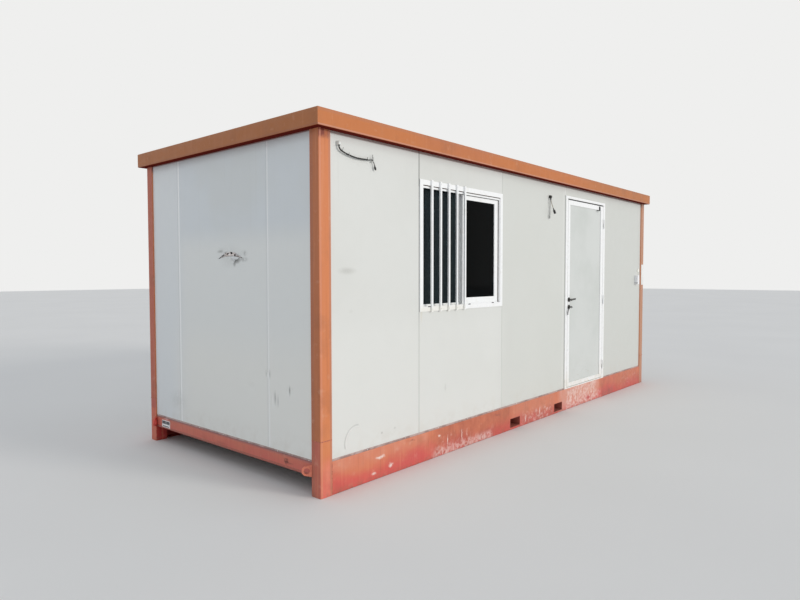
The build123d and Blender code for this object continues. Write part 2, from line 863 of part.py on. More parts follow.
def hinge_side(level, side):
    """Adds a knuckle and its mounting plate on one side of the hinge's axis."""
    align_x = Align.MIN if side > 0 else Align.MAX
    with BuildSketch(hinge_centre(level)) as section:
        Circle(hinge_radius)
        with Locations((side * hinge_clearance, hinge_radius)):
            Rectangle(hinge_leaf, hinge_plate, align=(align_x, Align.MIN))
        with Locations((side * hinge_clearance, 0)):
            Rectangle(hinge_radius - hinge_clearance, hinge_radius + hinge_plate, align=(align_x, Align.MIN))
    extrude(section.sketch, amount=knuckle - hinge_clearance)


with BuildPart() as hinges_frame:
    for level in hinge_levels:
        hinge_side(level - knuckle, 1)
        with BuildSketch(hinge_centre(level - knuckle)):
            Circle(hinge_pin_radius)
        extrude(amount=hinge_length - 2 * hinge_clearance)
save(hinges_frame, "door_hinges_frame_side")

with BuildPart() as hinges_leaf:
    for level in hinge_levels:
        hinge_side(level, -1)
        with BuildSketch(hinge_centre(level)):
            Circle(hinge_pin_radius + hinge_clearance)
        extrude(amount=hinge_length, mode=Mode.SUBTRACT)
save(hinges_leaf, "door_hinges_leaf_side")

# Lever handles inside and outside on one spindle
with BuildPart() as lever:
    with BuildSketch(front_plane(leaf_back + lever_standoff)):
        with Locations((lever_x, lever_level)):
            Circle(spindle_radius)
    extrude(amount=leaf_thickness + 2 * lever_standoff)
    half_lever = lever_thickness / 2
    for depth in (leaf_front - lever_standoff + half_lever, leaf_back + lever_standoff + half_lever):
        with BuildSketch(front_plane(depth)):
            with BuildLine():
                Line((lever_x, lever_level), (lever_x + lever_length, lever_level + lever_rise))
            trace(line_width=lever_width)
            with Locations((lever_x, lever_level)):
                Circle(lever_width / 2 + steel)
        extrude(amount=lever_thickness)
save(lever, "door_lever")

# Roses round the spindle and the lock cylinder, outside and inside
cylinder_level = lever_level - cylinder_drop
with BuildPart() as roses:
    for depth, radius in ((leaf_front, rose_radius), (leaf_back + rose_thickness, inner_rose_radius)):
        with BuildSketch(front_plane(depth)):
            with Locations((lever_x, lever_level)):
                Circle(radius)
                Circle(spindle_radius + spindle_clearance, mode=Mode.SUBTRACT)
            with Locations((lever_x, cylinder_level)):
                Circle(radius)
        extrude(amount=rose_thickness)
    with BuildSketch(front_plane(leaf_front - rose_thickness)):
        with Locations((lever_x, cylinder_level)):
            Circle(cylinder_radius)
    extrude(amount=cylinder_proud)
save(roses, "door_roses")

# Key in the cylinder, with a stiff curved strap on its shank that hangs to the lock side
key_front = leaf_front - rose_thickness - cylinder_proud
key_side = left_x + lever_x - key_thickness / 2
with BuildPart() as key:
    key_place = (key_side, front_y + wall_recess + key_front, cylinder_level)
    with BuildSketch(Plane(origin=key_place, x_dir=(0, -1, 0), z_dir=(1, 0, 0))):
        Rectangle(key_length, key_shank, align=(Align.MIN, Align.CENTER))
        with Locations((key_length, 0)):
            Circle(key_bow / 2)
            Circle(key_eye, mode=Mode.SUBTRACT)
    extrude(amount=key_thickness)
    with BuildSketch(front_plane(key_front - fob_standoff)):
        with BuildLine():
            ThreePointArc(
                (lever_x, cylinder_level),
                (lever_x - fob_bow_reach, cylinder_level - fob_bow_drop),
                (lever_x - fob_reach, cylinder_level - fob_drop),
            )
        trace(line_width=fob_width)
    extrude(amount=fob_thickness)
save(key, "key_and_fob")

# Stay hook on the top rail of the leaf, a bent rod that comes off a small plate
stay_x = leaf_left + leaf_width - stay_from_hinge
stay_level = leaf_top - stay_drop
with BuildPart() as stay:
    with BuildSketch(front_plane(leaf_front)):
        with Locations((stay_x + stay_radius, stay_level + stay_rod)):
            Rectangle(stay_plate_width, stay_plate_height)
    extrude(amount=stay_plate_thickness)
    with BuildSketch(front_plane(leaf_front - stay_plate_thickness)):
        with BuildLine():
            foot_level = stay_level - stay_radius
            Line((stay_x - stay_foot, foot_level), (stay_x, foot_level))
            CenterArc((stay_x, stay_level), stay_radius, -90, stay_sweep)
        trace(line_width=stay_rod)
    extrude(amount=stay_rod)
save(stay, "door_stay")

# Electrical fittings beside the right post: a socket box and a round cap
with BuildPart() as wall_fittings:
    with BuildSketch(front_plane(0)):
        with Locations((frame_length - socket_from_right, socket_bottom)):
            box_face = Rectangle(socket_width, socket_height, align=Align.MIN)
        fillet(box_face.vertices(), radius=fold_radius)
    extrude(amount=socket_depth)
    with BuildSketch(front_plane(0)):
        with Locations((frame_length - cap_from_right, cap_level)):
            Circle(cap_radius)
    extrude(amount=cap_depth)
save(wall_fittings, "wall_fittings")

# Cable outlets, hoods that open downwards, and the hook that holds the left cable
outlet_seats = [(left, soffit_level - drop) for left, drop in (left_outlet, door_outlet)]
hook_level = soffit_level - hook_drop
with BuildPart() as cable_fixings:
    with BuildSketch(front_plane(0)):
        with Locations(*outlet_seats):
            Rectangle(outlet_width, outlet_height, align=(Align.CENTER, Align.MIN))
    extrude(amount=outlet_depth)
    hood_edges = edges().filter_by(Axis.X).group_by(Axis.Y)[0].group_by(Axis.Z)
    chamfer([edge for group in hood_edges[1::2] for edge in group], length=outlet_bevel)
    hook_foot = (left_x + hook_left, front_y + wall_recess, hook_level)
    hook_knee = (hook_foot[0], hook_foot[1] - hook_reach, hook_level)
    hook_tip = (hook_foot[0], hook_knee[1], hook_level + hook_rise)
    with BuildLine() as hook_path:
        FilletPolyline(hook_foot, hook_knee, hook_tip, radius=hook_bend)
    with BuildSketch(Plane(origin=hook_foot, z_dir=(0, -1, 0))) as hook_section:
        RegularPolygon(hook_rod / 2, cable_sides)
    sweep(hook_section.sketch, path=hook_path.line)
save(cable_fixings, "cable_fixings")


def outside(left, drop, stand):
    """Gives a point in front of the front wall, from the left, the roof edge and the wall's skin."""
    return Vector(left_x + left, front_y + wall_recess - stand, soffit_level - drop)


def cable(route, diameter, name):
    """Makes a cable along its route, straight runs joined by arcs as large as the runs allow."""
    places = [outside(*point) for point in route]
    runs = [after - before for before, after in zip(places, places[1:])]
    radii = []
    for before, after in zip(runs, runs[1:]):
        half_turn = math.radians(before.get_angle(after)) / 2
        radii.append(arc_share * min(before.length, after.length) / math.tan(half_turn))
    with BuildPart() as tube:
        with BuildLine() as path:
            FilletPolyline(*places, radius=radii)
        with BuildSketch(Plane(origin=places[0], z_dir=runs[0])) as section:
            RegularPolygon(diameter / 2, cable_sides)
        sweep(section.sketch, path=path.line)
    length = sum(edge.length for edge in path.line.edges())
    fill = tube.part.volume / (section.sketch.area * length)
    print(name, "length", round(length), "fill", round(fill, 3), "radii", [round(radius) for radius in radii])
    save(tube, name)


def plug(route, steps, name):
    """Makes the stepped end piece of a cable, which carries on in the line of the cable's last run."""
    end = outside(*route[-1])
    lean = (end - outside(*route[-2])).normalized()
    reach = 0
    with BuildPart() as piece:
        for length, radius in steps:
            with BuildSketch(Plane(origin=end + lean * reach, z_dir=lean)) as step:
                RegularPolygon(radius, plug_sides)
            extrude(step.sketch, amount=length)
            reach += length
    save(piece, name)


# Left cable, in a slack curve from its outlet to the hook and over it, and its plug
cable(left_cable_route, left_cable_diameter, "left_cable")
plug(left_cable_route, left_plug_steps, "left_cable_plug")

# Two cables beside the door, which hang from one outlet, each with its plug
cable(grey_cable_route, door_cable_diameter, "grey_cable")
plug(grey_cable_route, grey_plug_steps, "grey_cable_plug")
cable(beige_cable_route, door_cable_diameter, "beige_cable")
plug(beige_cable_route, black_plug_steps, "beige_cable_plug")
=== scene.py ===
"""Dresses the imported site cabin: cables, paint, sheet finishes, damage, fasteners, seals and a plain studio."""

import math

import bmesh
import bpy
from bpy.props import FloatProperty, FloatVectorProperty, IntProperty, PointerProperty
from mathutils import Matrix, Vector, noise


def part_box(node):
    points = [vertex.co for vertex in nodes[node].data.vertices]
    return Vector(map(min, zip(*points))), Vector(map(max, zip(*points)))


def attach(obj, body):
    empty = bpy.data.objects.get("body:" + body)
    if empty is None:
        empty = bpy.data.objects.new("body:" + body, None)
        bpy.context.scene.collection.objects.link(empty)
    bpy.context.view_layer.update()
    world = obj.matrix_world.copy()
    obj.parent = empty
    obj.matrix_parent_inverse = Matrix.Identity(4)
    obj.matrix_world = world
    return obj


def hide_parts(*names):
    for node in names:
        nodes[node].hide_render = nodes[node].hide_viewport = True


bl_info = {
    "name": "Portable site cabin",
    "version": (1, 0, 0),
    "blender": (4, 5, 0),
    "location": "3D View > Sidebar > Cabin",
    "description": "Adds finishes, cables, damage and small fittings to the packed frame of a site cabin",
    "category": "Object",
}

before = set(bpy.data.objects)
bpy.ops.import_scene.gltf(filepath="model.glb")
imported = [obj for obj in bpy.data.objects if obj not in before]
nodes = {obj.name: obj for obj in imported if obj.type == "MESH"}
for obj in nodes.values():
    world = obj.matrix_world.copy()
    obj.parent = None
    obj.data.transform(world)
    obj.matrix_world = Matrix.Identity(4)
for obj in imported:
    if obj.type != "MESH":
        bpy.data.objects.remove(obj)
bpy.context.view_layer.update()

# Places worked out from the frame, in metres
left_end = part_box("corner_posts")[0].x
right_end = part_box("corner_posts")[1].x
post_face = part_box("corner_posts")[0].y
back_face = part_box("corner_posts")[1].y
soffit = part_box("corner_posts")[1].z
roof_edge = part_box("roof_beam_front")[0].y
wall_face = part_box("front_panel_left")[0].y
end_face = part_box("left_end_panel_front")[0].x
rail_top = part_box("base_rails")[1].z
seam_before_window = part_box("front_panel_window")[0].x
seam_after_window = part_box("front_panel_middle")[0].x
seam_at_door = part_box("front_panels_at_door")[0].x
near_end_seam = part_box("left_end_panel_front")[1].y
far_end_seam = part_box("left_end_panel_middle")[1].y

# Just behind the outer skins of the left end and of the front, so that a zone up to here takes in one face only
end_skin_x = left_end + 0.0012
front_skin_y = post_face + 0.0012


def linear(code):
    """Turns an sRGB hex colour into linear red, green, blue and alpha."""
    channels = [int(code[i:i + 2], 16) / 255 for i in (0, 2, 4)]
    return (*[c / 12.92 if c <= 0.04045 else ((c + 0.055) / 1.055) ** 2.4 for c in channels], 1.0)


def on_front(left, level, stand=0.0):
    """Gives a point on the front wall's skin, from the left end, the ground and out from the skin."""
    return Vector((left_end + left, wall_face - stand, level))


def on_rail(left, level):
    """Gives a point on the front rail's face, from the left end and the ground."""
    return Vector((left_end + left, post_face, level))


def on_end(near, level, stand=0.0):
    """Gives a point on the left end wall's skin, from the near post's face, the ground and out from the skin."""
    return Vector((end_face - stand, post_face + near, level))


def length(name, description, default):
    """Gives a length property in metres."""
    return FloatProperty(name=name, description=description, default=default, unit="LENGTH", subtype="DISTANCE")


def paint(name, description, code):
    """Gives a colour property whose default is an sRGB hex colour."""
    return FloatVectorProperty(
        name=name, description=description, default=linear(code), size=4, min=0, max=1, subtype="COLOR")


class CabinSizes(bpy.types.PropertyGroup):
    """Sizes of the pieces that are added to the frame."""

    left_cable: length("Left cable", "Diameter of the cable that hangs at the left", 0.006)
    door_cables: length("Door cables", "Diameter of the two cables beside the door", 0.007)
    tape: length("Tape", "Diameter over the tape that is wound on the left cable", 0.0112)
    tie_width: length("Cable tie", "Width of a cable tie", 0.0036)
    screw_head: length("Screw head", "Diameter of a pan head screw", 0.010)
    hinge_screw: length("Hinge screw", "Diameter of the head of a hinge's screw", 0.008)
    rivet_head: length("Rivet head", "Diameter of a blind rivet's head", 0.008)
    rivet_pitch: length("Rivet pitch", "Distance between rivets along the base flashing", 0.41)
    roof_washer: length("Roof washer", "Diameter of the washer under a roofing screw", 0.016)
    seal: length("Seal", "Width of the rubber that holds the glass", 0.005)
    weld: length("Weld", "Width of a weld bead", 0.008)
    cable_sides: IntProperty(
        name="Cable roundness", description="Bevel resolution of the cables", default=4, min=2, max=12)


class CabinColours(bpy.types.PropertyGroup):
    """Colours of the paint, the sheets and the fittings."""

    fascia: paint("Roof edge", "Faded enamel of the roof edge", "C97740")
    post: paint("Posts", "Faded enamel of the corner posts", "DA8556")
    rail: paint("Rails", "Faded enamel of the base rails", "D9805F")
    sound_red: paint("Sound red", "Enamel that the sun has not faded", "D65A54")
    # The soffit colour is painted shade: a dark maroon that stands in for the shade under the roof edge
    soffit: paint("Soffit", "Enamel under the roof edge, out of the light", "66231C")
    end_skin: paint("End skin", "Coated sheet of the left end, cooler than the long walls", "DDE2E5")
    skin: paint("Wall skin", "Coated sheet of the walls", "E1E2DE")
    white: paint("White enamel", "Enamel of the door and window frames", "FEFFFF")
    door: paint("Door infill", "Coated sheet of the door infill", "D9DCD9")
    glass: paint("Glass", "Tint of the float glass", "2B4A50")


# Helpers for meshes

def turn_to(direction, origin):
    """Gives the matrix that sets a piece made along Z at a point, pointing in a direction."""
    return Matrix.Translation(origin) @ Vector(direction).to_track_quat("Z", "Y").to_matrix().to_4x4()


def meshed(shape, name="part"):
    """Turns a bmesh into a mesh, and frees it."""
    mesh = bpy.data.meshes.new(name)
    shape.to_mesh(mesh)
    shape.free()
    return mesh


def shown(name, data, finish, body="cabin"):
    """Shows a mesh or a curve as a named piece with a finish, which rides on a body."""
    data.materials.append(look(finish))
    made = bpy.data.objects.new(name, data)
    bpy.context.scene.collection.objects.link(made)
    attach(made, body)
    return made


def piece(name, shape, finish, body="cabin", smooth_angle=35.0):
    """Turns a bmesh into a named piece that rides on a body, with its faces outward."""
    bmesh.ops.remove_doubles(shape, verts=shape.verts, dist=0.00001)
    bmesh.ops.recalc_face_normals(shape, faces=shape.faces)
    for face in shape.faces:
        face.smooth = True
    mesh = meshed(shape, name)
    mesh.set_sharp_from_angle(angle=math.radians(smooth_angle))
    return shown(name, mesh, finish, body)


def blocks(name, corners, edge, finish):
    """Makes a piece of one or more blocks, each between two corners, with their edges rounded."""
    shape = bmesh.new()
    for low, high in corners:
        block(shape, low, high, edge)
    return piece(name, shape, finish)


def block(shape, low, high, edge=0.0):
    """Adds a block between two corners, with its edges rounded."""
    low, high = Vector(low), Vector(high)
    made = bmesh.ops.create_cube(shape, size=1.0)["verts"]
    bmesh.ops.scale(shape, vec=high - low, verts=made)
    bmesh.ops.translate(shape, vec=(low + high) / 2, verts=made)
    if edge:
        edges = list({line for vert in made for line in vert.link_edges})
        bmesh.ops.bevel(
            shape, geom=edges, offset=edge, segments=2, affect="EDGES", profile=0.5, material=-1)


def turned(profile, sides=24):
    """Gives the mesh of a turned piece, a profile of (radius, height) points spun round Z."""
    shape = bmesh.new()
    verts = [shape.verts.new((radius, 0, height)) for radius, height in profile]
    lines = [shape.edges.new(pair) for pair in zip(verts, verts[1:])]
    bmesh.ops.spin(
        shape, geom=verts + lines, cent=(0, 0, 0), axis=(0, 0, 1), dvec=(0, 0, 0),
        angle=2 * math.pi, steps=sides, use_merge=True)
    bmesh.ops.remove_doubles(shape, verts=shape.verts, dist=0.000001)
    bmesh.ops.recalc_face_normals(shape, faces=shape.faces)
    return meshed(shape)


def stamp(shape, mesh, places):
    """Adds a copy of a mesh to a bmesh at each place, a matrix, and then removes the mesh."""
    for place in places:
        copy = mesh.copy()
        copy.transform(place)
        shape.from_mesh(copy)
        bpy.data.meshes.remove(copy)
    bpy.data.meshes.remove(mesh)


def stamped(name, mesh, places, finish, slot, body="cabin"):
    """Makes a piece of copies of one mesh, at places that are matrices."""
    shape = bmesh.new()
    stamp(shape, mesh, places)
    return piece(name, shape, finish, body)


def frame_ring(low, high, width, edge=0.0005):
    """Gives the mesh of a flat ring, of one width, that stands in the wall's plane between two corners."""
    low, high = Vector(low), Vector(high)
    shape = bmesh.new()
    corners = bmesh.ops.create_grid(shape, x_segments=1, y_segments=1, size=0.5)["verts"]
    face = corners[0].link_faces[0]
    for vert in corners:
        across, upward = vert.co.x + 0.5, vert.co.y + 0.5
        vert.co = (low.x + across * (high.x - low.x), low.y, low.z + upward * (high.z - low.z))
    shape.normal_update()
    rim = bmesh.ops.inset_region(
        shape, faces=[face], thickness=width, use_even_offset=True, use_boundary=True)["faces"]
    bmesh.ops.delete(shape, geom=[face], context="FACES_ONLY")
    pulled = bmesh.ops.extrude_face_region(shape, geom=rim)["geom"]
    moved = [v for v in pulled if isinstance(v, bmesh.types.BMVert)]
    bmesh.ops.translate(shape, vec=(0, high.y - low.y, 0), verts=moved)
    bmesh.ops.bevel(
        shape, geom=list(shape.edges), offset=edge, segments=1, affect="EDGES", profile=0.5, material=-1)
    return meshed(shape)


# Helpers for materials

def add(beside, kind, settings=None, inputs=None):
    """Adds a node to the tree of another node or socket, sets its properties, and sets or links its inputs."""
    tree = beside.id_data
    made = tree.nodes.new(kind)
    for name, value in (settings or {}).items():
        setattr(made, name, value)
    for name, value in (inputs or {}).items():
        if isinstance(value, bpy.types.NodeSocket):
            tree.links.new(value, made.inputs[name])
        else:
            made.inputs[name].default_value = value
    return made


def new_finish(name, **settings):
    """Starts a material, and gives its surface shader and its Object coordinates."""
    finish = bpy.data.materials.new(name)
    finish.use_nodes = True
    surface = finish.node_tree.nodes["Principled BSDF"]
    for socket, value in settings.items():
        surface.inputs[socket.replace("_", " ")].default_value = value
    return surface, add(surface, "ShaderNodeTexCoord").outputs["Object"]


def feed(surface, socket, name="Base Color"):
    """Links a socket to an input of the surface shader."""
    surface.id_data.links.new(socket, surface.inputs[name])


def patches(place, millimetres, detail=3.0, stretch=(1, 1, 1), seed=0.0):
    """Gives a cloudy pattern of patches about so many millimetres across, longer where stretch is above 1."""
    scaled = add(place, "ShaderNodeMapping", inputs={
        "Vector": place, "Scale": [1 / s for s in stretch], "Location": (seed, seed, seed)})
    return add(place, "ShaderNodeTexNoise", inputs={
        "Vector": scaled.outputs[0], "Scale": 1000 / millimetres, "Detail": detail, "Roughness": 0.55}).outputs[0]


def limits(socket, start, end, low=0.0, high=1.0):
    """Gives low where the value is at start, high where it is at end, and a smooth change between."""
    return add(socket, "ShaderNodeMapRange", {"interpolation_type": "SMOOTHSTEP"},
               {0: socket, 1: start, 2: end, 3: low, 4: high}).outputs[0]


def times(product, *factors):
    """Gives the product of a mask with other masks and numbers."""
    for factor in factors:
        product = add(product, "ShaderNodeMath", {"operation": "MULTIPLY"}, {0: product, 1: factor}).outputs[0]
    return product


def covered(under, over, mask):
    """Gives the colour under, covered by the colour over as far as the mask says. Either may be sRGB hex."""
    under, over = [linear(colour) if isinstance(colour, str) else colour for colour in (under, over)]
    return add(mask, "ShaderNodeMix", {"data_type": "RGBA"}, {0: mask, 6: under, 7: over}).outputs[2]


def within(place, soft, x=(None, None), y=(None, None), z=(None, None)):
    """Gives a mask that is 1 between limits along each axis and falls to 0 over a soft edge."""
    split = add(place, "ShaderNodeSeparateXYZ", inputs={0: place})
    masks = []
    for along_axis, (low, high) in zip(split.outputs, (x, y, z)):
        if low is not None:
            masks.append(limits(along_axis, low - soft, low + soft))
        if high is not None:
            masks.append(limits(along_axis, high - soft, high + soft, 1.0, 0.0))
    return times(*masks)


def zone(shade, amount, soft, **box):
    """Gives a zone of colour: a shade, how far it covers, its soft edge in metres and its limits along axes."""
    return shade, amount, soft, box


def zoned(place, colour, zones):
    """Lays zones over a colour."""
    for shade, amount, soft, box in zones:
        colour = covered(colour, shade, times(within(place, soft, **box), amount))
    return colour


def spot(place, centre, reach):
    """Gives a soft round mask about a point, whose reach is a length for each axis."""
    moved = add(place, "ShaderNodeVectorMath", {"operation": "SUBTRACT"}, {0: place, 1: centre})
    scaled = add(place, "ShaderNodeVectorMath", {"operation": "DIVIDE"}, {0: moved.outputs[0], 1: reach})
    size = add(place, "ShaderNodeVectorMath", {"operation": "LENGTH"}, {0: scaled.outputs[0]})
    return limits(size.outputs["Value"], 0.0, 1.0, 1.0, 0.0)


def wall_spot(place, wall, across, level, half_width, half_height, through=1.0):
    """Gives a soft round mask on a wall, named by its place function, that reaches some metres through it."""
    reach = (through, half_width, half_height) if wall is on_end else (half_width, through, half_height)
    return spot(place, wall(across, level), reach)


def marked(place, colour, wall, marks, grain, through=1.0):
    """Lays soft marks over a colour, broken up by a grain. Each has its place on a wall, its half width and half
    height, its amount and its colour."""
    for *where, amount, shade in marks:
        colour = covered(colour, shade, times(wall_spot(place, wall, *where, through), grain, amount))
    return colour


def wandering(place, millimetres, reach):
    """Gives the coordinates pushed about by a cloudy pattern, so that the edge of what they place wanders."""
    cloud = add(place, "ShaderNodeTexNoise", inputs={"Vector": place, "Scale": 1000 / millimetres, "Detail": 5.0})
    centred = add(place, "ShaderNodeVectorMath", {"operation": "SUBTRACT"},
                  {0: cloud.outputs["Color"], 1: (0.5, 0.5, 0.5)})
    return add(place, "ShaderNodeVectorMath", {"operation": "MULTIPLY_ADD"},
               {0: centred.outputs[0], 1: (reach, reach, reach), 2: place}).outputs[0]


def relief(surface, height, depth, under=None):
    """Gives the surface a bump of a real depth in metres, over another bump if there is one."""
    inputs = {"Height": height, "Distance": depth, "Strength": 1.0}
    if under:
        inputs["Normal"] = under
    bump = add(surface, "ShaderNodeBump", inputs=inputs).outputs[0]
    feed(surface, bump, "Normal")
    return bump


def level_of(place):
    """Gives the height above the ground."""
    return add(place, "ShaderNodeSeparateXYZ", inputs={0: place}).outputs["Z"]


def user_colours():
    """Gives the colours that the user can change."""
    return bpy.context.scene.cabin_colours


# Painted steel of the frame

def weathered_enamel(name, faded, sound, fade_low, fade_high, streaks, faces, weather=()):
    """Red alkyd enamel, brushed on folded steel. The sun has faded it to a chalky orange in vertical streaks,
    least near the ground, and it shows a fine orange peel and the steel's slow waves."""
    surface, place = new_finish(name, Roughness=0.5, IOR=1.5)
    level = level_of(place)
    clouds = patches(place, 420, detail=5)
    runs = patches(place, 22, detail=4, stretch=(1, 1, 26))
    wander = add(place, "ShaderNodeMath", {"operation": "MULTIPLY_ADD"}, {0: clouds, 1: 0.28, 2: -0.14})
    height = add(place, "ShaderNodeMath", {"operation": "ADD"}, {0: level, 1: wander.outputs[0]})
    colour = covered(sound, faded, limits(height.outputs[0], fade_low, fade_high))
    colour = zoned(wandering(place, 90, 0.10), colour, weather)
    colour = zoned(place, colour, faces)
    colour = covered(colour, "F3B48A", limits(runs, 0.52, 0.78, high=streaks * 0.6))
    colour = covered(colour, "8F4A3A", limits(runs, 0.46, 0.26, high=streaks * 0.6))
    colour = covered(colour, "8A5A44", limits(patches(place, 240, detail=6, seed=9.0), 0.50, 0.30, high=0.22))
    chalk = patches(place, 60, detail=6, seed=3.0)
    colour = covered(colour, "E6C3AE", limits(chalk, 0.56, 0.82, high=0.25))
    # Painted shade under the roof edge: the soffit colour, with its reflection taken away
    painted_soffit_shade = times(
        limits(level, soffit + 0.0015, soffit + 0.0005), limits(level, soffit - 0.0015, soffit - 0.0010))
    colour = covered(colour, user_colours().soffit, painted_soffit_shade)
    feed(surface, limits(painted_soffit_shade, 0.0, 1.0, 0.35, 0.0), "Specular IOR Level")
    grime = times(limits(level, 0.05, 0.0), limits(patches(place, 45), 0.35, 0.7), 0.5)
    colour = covered(colour, "8E6A58", grime)
    chips = limits(patches(place, 9, detail=2, seed=7.0), 0.74, 0.78)
    rusty = times(chips, limits(patches(place, 260, seed=1.0), 0.52, 0.66))
    colour = covered(colour, "6B3A2A", times(rusty, 0.8))
    feed(surface, colour)
    feed(surface, limits(chalk, 0.3, 0.8, 0.42, 0.66), "Roughness")
    waves = relief(surface, patches(place, 330, detail=1), 0.0015)
    peel = relief(surface, patches(place, 5, detail=2), 0.0002, waves)
    relief(surface, rusty, 0.0003, peel)
    return surface, place, colour


# Faces and strips of the corner posts
post_faces = [
    zone("BF744D", 1.0, 0.0005, x=(None, end_skin_x)),
    zone("C66A5C", 0.8, 0.0005, x=(None, end_skin_x), z=(None, 0.385)),
    zone("A86C58", 0.55, 0.004, x=(None, end_skin_x), y=(post_face + 0.060, post_face + 0.091)),
    zone("DE9478", 0.75, 0.004, x=(end_skin_x, left_end + 0.020), y=(None, front_skin_y)),
    zone("DA8350", 0.7, 0.006, x=(left_end + 0.050, left_end + 0.082), y=(None, front_skin_y), z=(0.4, None)),
    zone("C3836A", 0.8, 0.003, x=(left_end + 0.086, left_end + 0.106), y=(None, front_skin_y)),
    zone("B56C56", 0.5, 0.002, x=(left_end - 0.01, left_end + 0.12), z=(0.381, 0.389)),
    zone("B6907A", 0.9, 0.003, x=(right_end - 0.110, None), y=(None, front_skin_y)),
    zone("BC6258", 0.9, 0.004, x=(None, end_skin_x), y=(back_face - 0.100, None), z=(0.30, None)),
    zone("D6735B", 0.9, 0.004, x=(None, end_skin_x), y=(back_face - 0.100, None), z=(None, 0.30)),
]
# Weather of the corner posts, and the painted shadow at their tops under the roof edge
post_weather_and_shade = [
    zone("C23A36", 0.9, 0.002, x=(left_end + 0.0015, left_end + 0.40), y=(back_face - 0.16, None),
         z=(None, 0.15)),
    # Painted shadow: dark red at the posts' tops under the roof edge
    zone("7A2E26", 0.90, 0.020, z=(soffit - 0.050, None)),
    zone("EF967C", 0.85, 0.05, x=(left_end + 0.01, left_end + 0.11), y=(None, front_skin_y), z=(0.0, 0.24)),
    zone("E4796A", 0.6, 0.04, x=(left_end + 0.01, left_end + 0.11), y=(None, front_skin_y), z=(0.0, 0.10)),
]
# Faces and strips of the roof edge; the light strip along its lower lip is a painted highlight over a worn folded
# edge
fascia_faces = [
    # Painted highlight along the lower lip, partly a worn folded edge
    zone("D0937A", 0.85, 0.002, y=(None, roof_edge + 0.002), z=(soffit + 0.0016, soffit + 0.012)),
    zone("B87A5C", 0.6, 0.008, y=(None, roof_edge + 0.002), z=(soffit + 0.095, None)),
    zone("8C663C", 0.7, 0.500, x=(right_end - 1.90, None), y=(None, roof_edge + 0.002),
         z=(soffit + 0.002, None)),
    zone("AF6D41", 1.0, 0.0005, x=(None, left_end - 0.0535)),
    zone("A2664A", 0.8, 0.003, x=(None, left_end - 0.0535), z=(soffit + 0.0016, soffit + 0.014)),
    zone("AE724C", 0.7, 0.010, x=(None, left_end - 0.0535), z=(soffit + 0.090, None)),
]
fascia_weather = [
    zone("B86E50", 0.5, 0.20, x=(left_end + 1.0, left_end + 2.0), y=(None, wall_face),
         z=(soffit + 0.004, None)),
]
# Strips of the end beams, and the far face of the front rail
beam_faces = [
    zone("B57670", 0.7, 0.003, z=(0.218, None)),
    zone("9E5F53", 0.7, 0.004, z=(None, 0.152)),
]
rail_faces = [
    zone("B9302C", 0.9, 0.0005, y=(front_skin_y, back_face - 0.0012), z=(None, rail_top - 0.004)),
]
# Weather of the front rail, from the left post to the right one
rail_weather = [
    zone("DD957C", 0.8, 0.04, x=(left_end + 0.10, left_end + 1.15), y=(None, front_skin_y), z=(0.15, None)),
    zone("D96B5C", 0.7, 0.03, x=(left_end + 0.10, left_end + 0.60), y=(None, front_skin_y), z=(0.0, 0.07)),
    zone("D0605A", 0.85, 0.05, x=(left_end + 0.68, left_end + 1.25), y=(None, front_skin_y), z=(0.0, 0.15)),
    zone("A85946", 0.85, 0.06, x=(left_end + 1.25, left_end + 2.45), y=(None, front_skin_y), z=(0.0, None)),
    zone("B2584C", 0.9, 0.04, x=(left_end + 1.90, left_end + 2.15), y=(None, front_skin_y), z=(0.0, 0.08)),
    zone("C6826E", 0.8, 0.08, x=(left_end + 2.45, left_end + 3.35), y=(None, front_skin_y), z=(0.05, None)),
    zone("B4685C", 0.7, 0.04, x=(left_end + 2.62, left_end + 3.34), y=(None, front_skin_y), z=(0.0, 0.10)),
    zone("DDACA0", 0.95, 0.07, x=(left_end + 3.45, left_end + 4.50), y=(None, front_skin_y), z=(0.0, None)),
    zone("B9625A", 0.9, 0.07, x=(left_end + 4.55, left_end + 5.00), y=(None, front_skin_y), z=(0.0, None)),
    zone("93625A", 0.7, 0.04, x=(left_end + 4.60, left_end + 4.92), y=(None, front_skin_y), z=(0.0, 0.08)),
    zone("B36354", 0.85, 0.08, x=(left_end + 5.00, left_end + 5.90), y=(None, front_skin_y), z=(0.0, None)),
]
# Lime splashes on the front rail: left, right, foot, top, amount and the noise level where they start
rail_splashes = [
    (1.22, 2.10, 0.00, 0.060, 1.00, 0.44),
    (1.30, 1.75, 0.04, 0.150, 0.45, 0.56),
    (2.66, 3.28, 0.00, 0.120, 0.75, 0.53),
    (3.62, 4.40, 0.00, 0.240, 0.90, 0.47),
    (4.30, 4.55, 0.00, 0.090, 0.70, 0.50),
    (5.20, 5.75, 0.06, 0.200, 0.35, 0.55),
]
# Pale and dark chips on the front rail: left, level, half width, half height, amount and colour
rail_chips = [
    (0.590, 0.150, 0.070, 0.016, 1.0, "F8EAE2"),
    (0.700, 0.075, 0.034, 0.022, 1.0, "F4E3DA"),
    (0.520, 0.050, 0.040, 0.014, 1.0, "F0DAD0"),
    (1.300, 0.175, 0.024, 0.018, 1.0, "F2DFD6"),
    (1.420, 0.110, 0.008, 0.060, 1.0, "F3E4DC"),
    (1.620, 0.120, 0.010, 0.060, 1.0, "F3E4DC"),
    (2.720, 0.070, 0.012, 0.050, 1.0, "F3E4DC"),
    (3.020, 0.085, 0.012, 0.070, 1.0, "F3E4DC"),
    (4.200, 0.050, 0.120, 0.030, 1.0, "C04A48"),
    (0.960, 0.205, 0.050, 0.010, 1.0, "A85F4C"),
    (2.200, 0.190, 0.080, 0.014, 1.0, "A9604F"),
]
